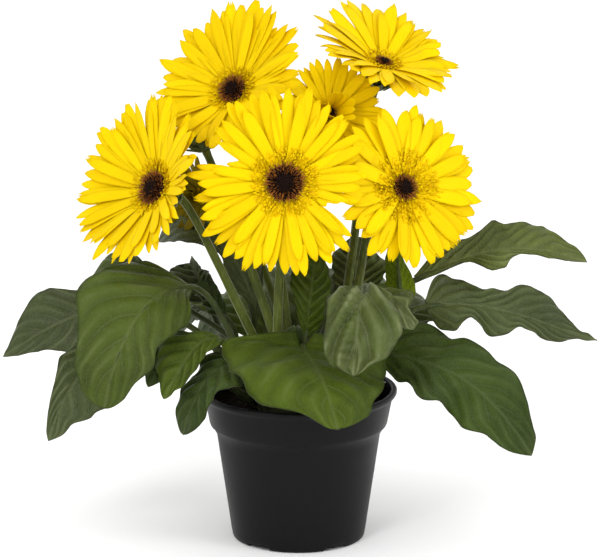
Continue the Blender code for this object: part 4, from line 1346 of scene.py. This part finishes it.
class GERBERA_OT_make_pot(bpy.types.Operator):
    """Moulds the pot with its rim, collar, step and drain notches"""

    bl_idname = "gerbera.make_pot"
    bl_label = "Make pot"

    def execute(self, context):
        look = context.scene.gerbera.pot
        rim_under = POT_HEIGHT - LIP_DEPTH
        collar_foot = POT_HEIGHT - COLLAR_DEPTH
        body_top = collar_foot - STEP_DEPTH
        profile = [(0.0, POT_FLOOR)]
        inner = [
            (BODY_FOOT - POT_WALL - 1.5 * MM, POT_FLOOR),
            (BODY_FOOT - POT_WALL, POT_FLOOR + 1.5 * MM),
            (BODY_TOP - POT_WALL, body_top),
            (COLLAR_FOOT - POT_WALL, collar_foot),
            (RIM_RADIUS - RIM_FLAT - 0.1 * MM, POT_HEIGHT - RIM_ROUND * 1.4),
            (RIM_RADIUS - RIM_FLAT + 0.2 * MM, POT_HEIGHT - RIM_ROUND * 0.4),
            (RIM_RADIUS - RIM_FLAT + 0.9 * MM, POT_HEIGHT),
        ]
        outer = [
            (RIM_RADIUS - 1.1 * MM, POT_HEIGHT),
            (RIM_RADIUS - 0.35 * MM, POT_HEIGHT - 0.3 * MM),
            (RIM_RADIUS, POT_HEIGHT - 1.0 * MM),
            (RIM_RADIUS - 0.1 * MM, rim_under + 0.6 * MM),
            (RIM_RADIUS - 0.7 * MM, rim_under - 0.4 * MM),
            (COLLAR_TOP + 0.2 * MM, rim_under - 1.9 * MM),
            (COLLAR_TOP - 0.1 * MM, rim_under - LIP_DEPTH),
            (COLLAR_FOOT + 0.3 * MM, collar_foot + 1.4 * MM),
            (COLLAR_FOOT - 0.3 * MM, collar_foot),
            (COLLAR_FOOT - 1.5 * MM, collar_foot - 0.9 * MM),
            (BODY_TOP + STEP_BULGE, collar_foot - STEP_DEPTH * 0.45),
            (BODY_TOP + 0.5 * MM, collar_foot - STEP_DEPTH * 0.72),
            (BODY_TOP, body_top - 0.4 * MM),
            (BODY_TOP - 0.3 * MM, body_top - 2.4 * MM),
            (BODY_FOOT + 0.5 * MM, 5 * MM),
            (BODY_FOOT - 0.1 * MM, FOOT_BEVEL),
            (BODY_FOOT - 0.6 * MM, 0.5 * MM),
            (BODY_FOOT - FOOT_BEVEL, 0.0),
            (BODY_FOOT - NOTCH_DEPTH, 0.0),
            (BODY_FOOT - NOTCH_DEPTH - 0.4 * MM, 0.0),
        ]
        line = inner + outer
        for a, b in zip(line, line[1:] + [(0.0, 0.0)]):
            profile.append(a)
            parts = int(math.hypot(a[0] - b[0], a[1] - b[1]) / POT_STRIP)
            for k in range(1, parts):
                t = k / parts
                profile.append((a[0] + (b[0] - a[0]) * t, a[1] + (b[1] - a[1]) * t))
        profile.append((0.0, 0.0))
        half = NOTCH_WIDTH / BODY_FOOT / 2

        def notched(r, z, angle):
            if z >= NOTCH_HEIGHT or r < BODY_FOOT - NOTCH_DEPTH - 0.2 * MM:
                return r, z
            for i in range(NOTCH_COUNT):
                middle = math.radians(NOTCH_TURN + i * 360 / NOTCH_COUNT)
                away = abs((angle - middle + math.pi) % (2 * math.pi) - math.pi)
                lift = 1 - ramp(away, half - 0.012, half + 0.012)
                z = max(z, NOTCH_HEIGHT * lift * ramp(NOTCH_HEIGHT - z, -1e-6, 1e-6))
            return r, z

        shape = Shape()
        shape.lathe(profile[::-1], look.steps * 2, 0, notched)
        mesh = shape.mesh("pot_body")
        mesh.flip_normals()
        finish_piece(link("pot_body", mesh, [plastic_skin(look.plastic)]), "pot_plastic", "pot")
        return {"FINISHED"}


class GERBERA_OT_make_soil(bpy.types.Operator):
    """Fills the pot with potting mix and strews crumbs over it"""

    bl_idname = "gerbera.make_soil"
    bl_label = "Make potting mix"

    def execute(self, context):
        look = context.scene.gerbera.pot
        collar_foot = POT_HEIGHT - COLLAR_DEPTH
        body_top = collar_foot - STEP_DEPTH
        inset = POT_WALL + SOIL_SIDE_GAP
        widening = RIM_RADIUS - RIM_FLAT - COLLAR_FOOT + POT_WALL
        slope = widening / (COLLAR_DEPTH - RIM_ROUND)
        top_radius = COLLAR_FOOT - inset + slope * (SOIL_LEVEL - SOIL_SAG - collar_foot)
        profile = [(0.0, SOIL_LEVEL)]
        for i in range(1, SOIL_RINGS + 1):
            r = top_radius * i / SOIL_RINGS
            edge = ramp(r, CROWN_RADIUS, top_radius)
            profile.append((r, SOIL_LEVEL - SOIL_SAG * edge))
        profile += [
            (COLLAR_FOOT - inset, collar_foot),
            (BODY_TOP - inset, body_top),
            (BODY_FOOT - inset, POT_FLOOR + GAP),
            (0.0, POT_FLOOR + GAP),
        ]

        def rough(r, z, angle):
            if z < SOIL_LEVEL - SOIL_SAG - 1e-6 or r < CROWN_RADIUS * 0.9:
                return r, z
            spot = Vector((r * math.cos(angle), r * math.sin(angle), 0.0))
            lumps = noise.noise(spot * 160) * 1.1 + noise.noise(spot * 420) * 0.7
            return r, z + (lumps - 0.5) * MM * ramp(r, CROWN_RADIUS * 0.9, CROWN_RADIUS * 1.1)

        shape = Shape()
        shape.lathe(profile, 128, 0, rough)
        skin = mix_skin("damp_mix", look.mix, 1.0)
        crumb_skin = mix_skin("mix_crumbs", look.mix, 1.35)
        base = link("mix_base", shape.mesh("mix_base"), [skin])
        crumbs = shape_collection("crumb", [
            bead_mesh("crumb_a", [(0, 0.5), (0.34, 0.34), (0.5, 0.0), (0.3, -0.36), (0, -0.5)],
                      6, 0.25),
            bead_mesh("crumb_b", [(0, 0.5), (0.20, 0.30), (0.26, -0.2), (0, -0.5)], 5, 0.3),
            bead_mesh("crumb_c", [(0, 0.3), (0.45, 0.15), (0.5, -0.1), (0, -0.3)], 6, 0.3),
        ])
        grow(base, kept_tree("Strewn crumbs", scatter_tree), Shapes=crumbs,
             Density=look.crumbs, Smallest=1.0 * MM, Largest=3.0 * MM, Seed=4, Skin=crumb_skin)
        close_piece(base, "potting_mix", "potting_mix", "soil")
        drop_collection(crumbs)
        return {"FINISHED"}


class GERBERA_OT_make_crown(bpy.types.Operator):
    """Makes the crown as a dome of old leaf bases"""

    bl_idname = "gerbera.make_crown"
    bl_label = "Make crown"

    def execute(self, context):
        low = SOIL_LEVEL + GAP
        profile = []
        for i in range(19):
            angle = math.radians(90 - 5 * i)
            profile.append((CROWN_RADIUS * math.cos(angle) if i else 0.0,
                            low + CROWN_HEIGHT * math.sin(angle)))
        profile.append((0.0, low))

        def lumpy(r, z, angle):
            spot = Vector((r * math.cos(angle), r * math.sin(angle), z))
            return r * (1 + 0.05 * (noise.noise(spot * 220) - 0.6)), z

        shape = Shape()
        shape.lathe(profile, 72, 0, lumpy)
        skin = downy_skin("crown_green", (0.047, 0.053, 0.019), 0.2, 0.25)
        base = link("crown_base", shape.mesh("crown_base"), [skin])
        scales = shape_collection("scale", bract_meshes())
        dry = downy_skin("old_leaf_base", (0.052, 0.039, 0.015), 0.4, 0.25)
        top = (low + CROWN_HEIGHT) / MM
        whorl(base, scales, [dry, skin, skin], 31, 60, GOLDEN_TURN, (6, 27.5), (75, 60), 9, 6,
              (10, 12, 12, 0.3, 0.25), (top - 1.5, top - 18.0))
        young = shape_collection("young", young_leaf_meshes())
        green = downy_skin("young_leaf", (0.036, 0.057, 0.0086), 0.0, 0.5)
        deep = downy_skin("young_leaf_deep", (0.022, 0.039, 0.0052), 0.0, 0.4)
        whorl(base, young, [green, deep, deep], 37, 15, GOLDEN_TURN, (5, 24), (82, 52), 30, 17,
              (14, 9, 16, 0.28, 0.25), (top - 2.0, top - 12.0))
        close_piece(base, "crown_bases", "crown_green", "crown")
        drop_collection(scales)
        drop_collection(young)
        return {"FINISHED"}


class GERBERA_OT_make_leaves(bpy.types.Operator):
    """Makes every leaf with its veins, bulges, thin edge, rib and stalk"""

    bl_idname = "gerbera.make_leaves"
    bl_label = "Make leaves"

    def execute(self, context):
        look = context.scene.gerbera.leaf
        # Each green with its gloss and down; down also sets the strength of the painted shade
        # in the vein valleys and of the painted sheen patches.
        tints = {key: leaf_skin(key, getattr(look, key), gloss, down)
                 for key, gloss, down in (
                     ("bright", 0.07, 0.35), ("mid", 0.14, 0.40), ("grey", 0.22, 0.45),
                     ("frost", 0.18, 1.0), ("light", 0.18, 0.45), ("dark", 0.13, 0.30),
                     ("young", 0.08, 0.10))}
        under = downy_skin("leaf_underside", (0.069, 0.093, 0.034), 0.0, 0.2)
        edge = downy_skin("leaf_edge", (0.034, 0.041, 0.015), 0.0, 0.2)
        stalk = downy_skin("leaf_stalk", (0.034, 0.050, 0.0086), 0.40, 0.15)
        for name, leaf in LEAVES.items():
            mesh = self.leaf_mesh(name + "_blade", leaf, look)
            face = tints[leaf["tint"]]
            # The youngest leaf shows its bright upper colour on its underside too, as painted
            # light shining through it.
            back = face if leaf["tint"] == "young" else under
            skins = [face, back, edge, stalk]
            finish_piece(link(name + "_blade", mesh, skins), "leaf_green", name)
        return {"FINISHED"}

    def leaf_mesh(self, name, leaf, look):
        midrib = leaf_midrib(leaf)
        rows, half = look.rows, look.half_columns
        wide = 2 * half + 1
        stations = [0.5 - 0.5 * math.cos(math.pi * (0.06 + 0.94 * i / rows))
                    for i in range(rows + 1)]
        stations[0] = 0.0
        us = []
        for j in range(wide):
            v = j / half - 1
            us.append(math.copysign(0.35 * abs(v) + 0.65 * math.sin(math.pi * abs(v) / 2), v))
        top = [[blade_surface(leaf, midrib, s, u, 1 if u > 0 else -1, look.pucker) for u in us]
               for s in stations]
        under = []
        for i in range(rows + 1):
            line = []
            for j in range(wide):
                a = top[min(i + 1, rows)][j] - top[max(i - 1, 0)][j]
                b = top[i][min(j + 1, wide - 1)] - top[i][max(j - 1, 0)]
                normal = b.cross(a)
                if normal.length < 1e-12:
                    normal = blade_axes(leaf, midrib, stations[i])[2]
                edge = abs(us[j]) ** 4 * 0.45 + 0.3 * ramp(stations[i], 0.9, 1.0)
                line.append(top[i][j] - normal.normalized() * look.thickness * (1 - edge))
            under.append(line)

        def place(i, j, cell):
            side = 1 if cell >= half else -1
            across = abs(us[j])
            s = stations[i]
            return (across * half_width(leaf, s, side) / PATTERN_UNIT,
                    vein_phase(leaf, s, across, side))

        shape = Shape()
        first = shape.sheet(top, 0, place)
        low = shape.sheet(under, 1, place, turn=True)
        shape.rim(first, low, rows, 2 * half, 2)
        path = leaf_stalk(leaf)
        out = crown_point(*leaf["seat"])[1]
        straight = out * STRAIGHT_END * 0.5
        points = [path[0], path[0] + straight]
        radii = [LEAF_STALK_FOOT * 1.15] * 2
        for i in range(1, LEAF_STALK_PARTS):
            t = i / LEAF_STALK_PARTS
            points.append(bezier(*path, t) + straight * (1 - t) ** 4)
            radii.append(LEAF_STALK_FOOT + (LEAF_STALK_NECK - LEAF_STALK_FOOT) * t)
        for i in range(LEAF_STALK_PARTS):
            s = RIB_END * i / (LEAF_STALK_PARTS - 1)
            centre, _, normal = blade_axes(leaf, midrib, s)
            thick = LEAF_STALK_NECK * (1 - s / RIB_END) ** 0.8 + 0.32 * MM
            under_blade = ramp(s, 0.0, 0.12)
            sink = thick * (0.15 + 0.85 * under_blade) + RIB_DEPTH * (1 - 0.8 * s) * under_blade
            points.append(centre - normal * sink)
            radii.append(thick)

        def ridged(i, angle):
            return 1 + 0.04 * math.sin(3 * angle + i * 0.3)

        shape.tube(points, radii, 12, 3, ridged)
        made = shape.mesh(name)
        rim = [max(abs(u), ramp(s, 0.95, 1.0)) for s in stations for u in us] * 2
        rim += [0.0] * (len(made.vertices) - len(rim))
        made.attributes.new("rim", "FLOAT", "POINT").data.foreach_set("value", rim)
        return made


class GERBERA_OT_make_stalks(bpy.types.Operator):
    """Makes the flower stalks, ribbed, slightly uneven and downy"""

    bl_idname = "gerbera.make_stalks"
    bl_label = "Make flower stalks"

    def execute(self, context):
        look = context.scene.gerbera.stalk
        skin = downy_skin("flower_stalk", look.green, 0.45, 0.9)
        for order, (name, head) in enumerate({**HEADS, "bud": BUD}.items()):
            back = BUD["length"] * MM / 2 + GAP if name == "bud" else HEAD_BACK
            path = scape_path(head, back)
            out = crown_point(*head["seat"])[1]
            facing = direction(*head["faces"])
            points = [path[0] - out * STRAIGHT_END * (1 - k / 3) for k in range(3)]
            points += [bezier(*path, i / SCAPE_PARTS) for i in range(SCAPE_PARTS + 1)]
            points += [path[3] + facing * STRAIGHT_END * k / 3 for k in range(1, 4)]
            last = len(points) - 1
            radii = []
            for i, point in enumerate(points):
                t = i / last
                uneven = 1 + 0.05 * noise.noise(point * 60 + Vector((order, 0, 0)))
                flare = 0.35 * MM * (ramp(t, 0.93, 1.0) + ramp(0.06 - t, 0.0, 0.06))
                radii.append((SCAPE_FOOT + (SCAPE_NECK - SCAPE_FOOT) * t) * uneven + flare)

            def ribbed(i, angle):
                return 1 + 0.035 * math.cos(7 * angle + 0.4 * math.sin(i * 0.12 + order))

            shape = Shape()
            shape.tube(points, radii, look.sides * 2, 0, ribbed)
            piece = link("stalk_" + name, shape.mesh("stalk_" + name), [skin])
            finish_piece(piece, "stalk_green", "scape_" + name)
        return {"FINISHED"}


class GERBERA_OT_make_petals(bpy.types.Operator):
    """Makes the petals of every head in three overlapping rings"""

    bl_idname = "gerbera.make_petals"
    bl_label = "Make petals"

    def execute(self, context):
        look = context.scene.gerbera.flower
        open_skins = [petal_skin("petal_yellow", look.yellow),
                      petal_skin("petal_deep_yellow", look.deep_yellow),
                      petal_skin("petal_light_yellow", look.light_yellow)]
        # The head in shadow gets petals painted dark, as painted shade.
        painted_shade_skins = [petal_skin("petal_young", look.young),
                       petal_skin("petal_young_deep", [c * 0.8 for c in look.young])]
        petals = shape_collection("petal", petal_meshes())
        for order, (name, head) in enumerate(HEADS.items()):
            radius, slope = head["radius"], head["slope"]
            skins = painted_shade_skins if head.get("young") else open_skins
            share = 1.0 if radius > 40 else (0.8 if radius > 25 else 0.6)
            broad = head.get("broad", 1.0)
            closed = head.get("closed", 0)
            count = round(look.petals * share / broad ** 0.8)
            inner = round(look.inner_petals * share / broad ** 0.8)
            wide = radius * look.petal_width * broad / share ** 0.7
            start = radius * 0.10
            reach = radius * 1.01 / math.cos(math.radians(slope)) - start
            rise = start * math.tan(math.radians(slope))
            base = link("rays_" + name, bpy.data.meshes.new("rays_" + name))
            rings = (
                (count, 0.0, reach, wide, (2.6, 1.5, 3, 0.07, 0.12), 0.0, 0.0),
                (count, 1.2, reach * 0.975, wide * 0.98, (2.8, 1.5, 3, 0.08, 0.12), 0.4,
                 180 / count),
                (inner, 2.6 + closed, reach * (0.56 if closed else 0.90), wide * 0.90,
                 (6.0, 1.8 + closed * 0.12, 7, 0.08, 0.15), 0.8, 6))
            for ring, (number, more, long, width, spreads, above, turned) in enumerate(rings):
                whorl(base, petals, skins, 100 + order * 10 + ring, number, 360 / number,
                      (start, start), (slope + more, slope + more), long, width, spreads,
                      (rise + above, rise + above), head["spin"] + turned)
            close_piece(base, "rays_" + name, "petal_yellow", "petals_" + name,
                        head_matrix(head), head)
        drop_collection(petals)
        return {"FINISHED"}


class GERBERA_OT_make_eyes(bpy.types.Operator):
    """Makes the dark eye of every head and the frill of short petals round it"""

    bl_idname = "gerbera.make_eyes"
    bl_label = "Make eyes"

    def execute(self, context):
        look = context.scene.gerbera.eye
        flower = context.scene.gerbera.flower
        dark = floret_skin("floret_dark", look.dark)
        brown = floret_skin("floret_brown", look.brown, 0.5, 0.6, 0.2, 0.1)
        rust = floret_skin("floret_rust", [c * 1.9 for c in look.brown], 0.4, 0.6, 0.2, 0.1)
        orange = floret_skin("stamen_orange", look.orange, 0.4, 0.5, 0.2)
        yellow = floret_skin("frill_yellow", flower.yellow, 0.04, 0.5, 0.05, 0.0)
        deep = floret_skin("frill_deep_yellow", flower.deep_yellow, 0.06, 0.5, 0.05, 0.0)
        amber = floret_skin("frill_amber", look.amber, 0.12, 0.5, 0.05, 0.0)
        beads = shape_collection("floret", [
            bead_mesh("floret_a", [(0, 0), (0.5, 0.1), (0.55, 0.5), (0.34, 0.85), (0, 1.0)], 7),
            bead_mesh("floret_b", [(0, 0), (0.4, 0.1), (0.5, 0.6), (0.42, 0.95), (0, 0.9)], 7),
        ])
        rods = shape_collection("stamen", [
            bead_mesh("stamen_a", [(0, 0), (0.3, 0.05), (0.25, 0.7), (0.5, 0.9), (0, 1.0)], 5)])
        spikes = shape_collection("spike", spike_meshes())
        frills = shape_collection("frill", frill_meshes())
        for order, (name, head) in enumerate(HEADS.items()):
            eye, frill = head.get("core", head["eye"]), head["frill"]
            slope = math.tan(math.radians(head["slope"] + 2))
            rim = eye * math.tan(math.radians(head["slope"])) + 0.9
            base = self.eye_base(name, eye, rim, dark)
            seed = 300 + order * 10
            small = (eye / 12.5) ** 0.4
            whorl(base, beads, [dark, dark, dark], seed, round(60 + 6 * eye), GOLDEN_TURN,
                  (0.2, eye * 0.40), (88, 70), 2.4, 1.25 * small, (5, 8, 10, 0.25, 0.15),
                  (rim + 1.0, rim + 1.3))
            whorl(base, spikes, [brown, dark, dark], seed + 1, round(30 + 3.5 * eye),
                  GOLDEN_TURN, (eye * 0.32, eye * 0.48), (70, 52), 3.2 * small, 0.85 * small,
                  (5, 12, 20, 0.3, 0.25), (rim + 1.4, rim + 1.7))
            whorl(base, spikes, [rust, brown, brown], seed + 2, round(46 + 8 * eye),
                  GOLDEN_TURN, (eye * 0.46, eye * 0.82), (52, 26), 3.4 * small, 0.68 * small,
                  (5, 12, 20, 0.3, 0.25), (rim + 1.7, rim + 1.6))
            whorl(base, spikes, [rust, brown, rust], seed + 3, round(18 + 2.2 * eye),
                  360 / round(18 + 2.2 * eye), (eye * 0.74, eye * 0.80), (26, 16), 3.8 * small,
                  0.60 * small, (5, 9, 25, 0.35, 0.25), (rim + 2.0, rim + 2.0))
            first, last = eye * 0.90, eye + frill
            rise = (last - first) * slope
            tiny = math.pi * (last * last - first * first)
            whorl(base, frills, [yellow, yellow, deep], seed + 4, round(tiny / 1.5),
                  GOLDEN_TURN, (first, last), (46, 22), 2.8, 1.15, (7, 12, 25, 0.3, 0.25),
                  (rim + 0.5, rim + rise))
            whorl(base, rods, [amber, orange, amber], seed + 5, round(tiny / 4.5),
                  GOLDEN_TURN, (first, last * 0.96), (66, 40), 2.0, 0.30,
                  (8, 20, 20, 0.3, 0.2), (rim + 1.2, rim + 0.5 + rise))
            close_piece(base, "florets_" + name, "eye_brown", "eye_" + name,
                        head_matrix(head))
        for collection in (beads, rods, spikes, frills):
            drop_collection(collection)
        return {"FINISHED"}

    def eye_base(self, name, eye, rim, skin):
        """The low dome that the florets stand on."""
        profile = [(0.0, rim + 1.4)]
        for i in range(1, 11):
            r = eye * 0.86 * i / 10
            profile.append((r, rim + 1.4 - 1.2 * (i / 10) ** 4))
        profile += [(eye * 0.84, rim - 0.6), (0.0, GAP / MM)]
        shape = Shape()
        shape.lathe([(r * MM, z * MM) for r, z in profile], 40)
        return link("eye_base_" + name, shape.mesh("eye_base_" + name), [skin])


class GERBERA_OT_make_bracts(bpy.types.Operator):
    """Makes the cup of bracts under every head, and the bud"""

    bl_idname = "gerbera.make_bracts"
    bl_label = "Make bracts and bud"

    def execute(self, context):
        look = context.scene.gerbera.stalk
        skin = downy_skin("bract_green", look.bract, 0.3, 0.4)
        pale = downy_skin("bract_pale_green", [c * 1.35 for c in look.bract], 0.3, 0.4)
        bracts = shape_collection("bract", bract_meshes())
        for order, (name, head) in enumerate(HEADS.items()):
            top = -CALYX_TOP / MM
            tall = CALYX_HEIGHT / MM
            slope = math.tan(math.radians(head["slope"]))
            wide = min(CALYX_RADIUS / MM, head["radius"] * 0.26)
            size = wide * MM / CALYX_RADIUS
            foot = CALYX_FOOT / MM * 0.72
            shape = Shape()
            profile = [(0.0, top - tall)]
            for i in range(13):
                t = i / 12
                r = foot + (wide * 0.93 - foot) * math.sin(math.pi / 2 * t ** 0.8)
                profile.append((r, top - tall + (tall + wide * slope * 0.7) * t))
            profile.append((0.0, top))
            shape.lathe([(r * MM, z * MM) for r, z in profile[::-1]], 36)
            base = link("cup_" + name, shape.mesh("cup_" + name), [skin])
            for ring, (level, reach, lean, long) in enumerate((
                    (0.02, 3.2, 52, 9.0), (0.14, 5.6, 58, 9.5), (0.34, 7.6, 66, 9.0))):
                height = top - tall + tall * level
                whorl(base, bracts, [skin, pale, skin], 500 + order * 10 + ring, 13, 360 / 13,
                      (reach * size, reach * size), (lean, lean), long * size, 4.2 * size,
                      (4, 5, 6, 0.12, 0.12), (height, height), 14 * ring)
            close_piece(base, "bracts_" + name, "calyx_green", "calyx_" + name,
                        head_matrix(head))
        self.make_bud(skin, pale, bracts)
        drop_collection(bracts)
        return {"FINISHED"}

    def make_bud(self, skin, pale, bracts):
        wide, long = BUD["radius"], BUD["length"]
        profile = []
        for i in range(19):
            t = i / 18
            swell = math.sin(math.pi * (0.10 + 0.90 * t) ** 0.8)
            r = wide * 0.90 * swell ** 0.75 if 0 < i < 18 else 0.0
            profile.append((r * MM, long * (t - 0.5) * 0.96 * MM))
        shape = Shape()
        shape.lathe(profile[::-1], 36)
        base = link("bud_core", shape.mesh("bud_core"), [skin])
        for ring, (level, reach, lean, size) in enumerate((
                (-0.46, 2.4, 34, 9), (-0.34, 5.4, 52, 10), (-0.18, 7.2, 74, 10),
                (0.0, 7.6, 96, 9))):
            whorl(base, bracts, [skin, pale, skin], 600 + ring, 11, 360 / 11, (reach, reach),
                  (lean, lean), size, 4.4, (4, 4, 6, 0.1, 0.1), (long * level, long * level),
                  16 * ring)
        close_piece(base, "closed_bud", "calyx_green", "bud", head_matrix(BUD))


class GERBERA_OT_make_stage(bpy.types.Operator):
    """Sets up the pale floor, the soft studio lights, the white surround and the camera"""

    bl_idname = "gerbera.make_stage"
    bl_label = "Make stage"

    def execute(self, context):
        scene = context.scene
        look = scene.gerbera.stage
        shape = Shape()
        shape.sheet([[Vector((x, y, -FLOOR_DROP)) for x in (-FLOOR_REACH, 0, FLOOR_REACH)]
                     for y in (-FLOOR_REACH, 0, FLOOR_REACH)])
        floor = link("studio_floor", shape.mesh("studio_floor"), [floor_skin()])
        world = bpy.data.worlds.new("studio_white")
        scene.world = world
        world.use_nodes = True
        back = world.node_tree.nodes["Background"]
        back.inputs["Color"].default_value = (1.0, 1.0, 1.0, 1.0)
        back.inputs["Strength"].default_value = look.world
        self.light("key_light", look.key, 0.55, Vector((-0.75, -1.60, 1.10)))
        self.light("fill_light", look.fill, 0.7, Vector((1.45, -0.9, 0.8)))
        camera = bpy.data.cameras.new("camera")
        camera.lens = look.lens
        camera.sensor_width = 36.0
        camera.clip_end = 50.0
        view = bpy.data.objects.new("camera", camera)
        scene.collection.objects.link(view)
        ahead = Vector((0.0, math.cos(look.elevation), -math.sin(look.elevation)))
        view.location = VIEW_MIDDLE - ahead * look.distance
        view.rotation_euler = (math.pi / 2 - look.elevation, 0.0, 0.0)
        scene.camera = view
        scene.view_settings.view_transform = "Standard"
        scene.view_settings.look = "None"
        return {"FINISHED"}

    def light(self, name, power, size, offset):
        data = bpy.data.lights.new(name, "AREA")
        data.energy = power
        data.size = size
        made = bpy.data.objects.new(name, data)
        bpy.context.scene.collection.objects.link(made)
        made.location = VIEW_MIDDLE + offset
        made.rotation_euler = (-offset).to_track_quat("-Z", "Y").to_euler()


class GERBERA_PT_panel(bpy.types.Panel):
    """Lists the operators and their settings in the sidebar"""

    bl_idname = "GERBERA_PT_panel"
    bl_label = "Potted gerbera"
    bl_space_type = "VIEW_3D"
    bl_region_type = "UI"
    bl_category = "Gerbera"

    def draw(self, context):
        settings = context.scene.gerbera
        for group, steps in SECTIONS:
            box = self.layout.box()
            for step in steps:
                box.operator(step.bl_idname)
            part = getattr(settings, group)
            for key in part.__annotations__:
                box.prop(part, key)


SECTIONS = (
    ("pot", (GERBERA_OT_make_pot, GERBERA_OT_make_soil)),
    ("leaf", (GERBERA_OT_make_crown, GERBERA_OT_make_leaves)),
    ("stalk", (GERBERA_OT_make_stalks, GERBERA_OT_make_bracts)),
    ("flower", (GERBERA_OT_make_petals,)),
    ("eye", (GERBERA_OT_make_eyes,)),
    ("stage", (GERBERA_OT_make_stage,)),
)
CLASSES = (
    GerberaPotSettings, GerberaLeafSettings, GerberaStalkSettings, GerberaFlowerSettings,
    GerberaEyeSettings, GerberaStageSettings, GerberaSettings,
    GERBERA_OT_make_pot, GERBERA_OT_make_soil, GERBERA_OT_make_crown, GERBERA_OT_make_leaves,
    GERBERA_OT_make_stalks, GERBERA_OT_make_petals, GERBERA_OT_make_eyes,
    GERBERA_OT_make_bracts, GERBERA_OT_make_stage, GERBERA_PT_panel,
)


def register():
    for kind in CLASSES:
        bpy.utils.register_class(kind)
    bpy.types.Scene.gerbera = PointerProperty(type=GerberaSettings)


def unregister():
    del bpy.types.Scene.gerbera
    for kind in reversed(CLASSES):
        bpy.utils.unregister_class(kind)


def main():
    register()
    bpy.ops.gerbera.make_pot()
    bpy.ops.gerbera.make_soil()
    bpy.ops.gerbera.make_crown()
    bpy.ops.gerbera.make_leaves()
    bpy.ops.gerbera.make_stalks()
    bpy.ops.gerbera.make_petals()
    bpy.ops.gerbera.make_eyes()
    bpy.ops.gerbera.make_bracts()
    bpy.ops.gerbera.make_stage()


if __name__ == "__main__":
    main()
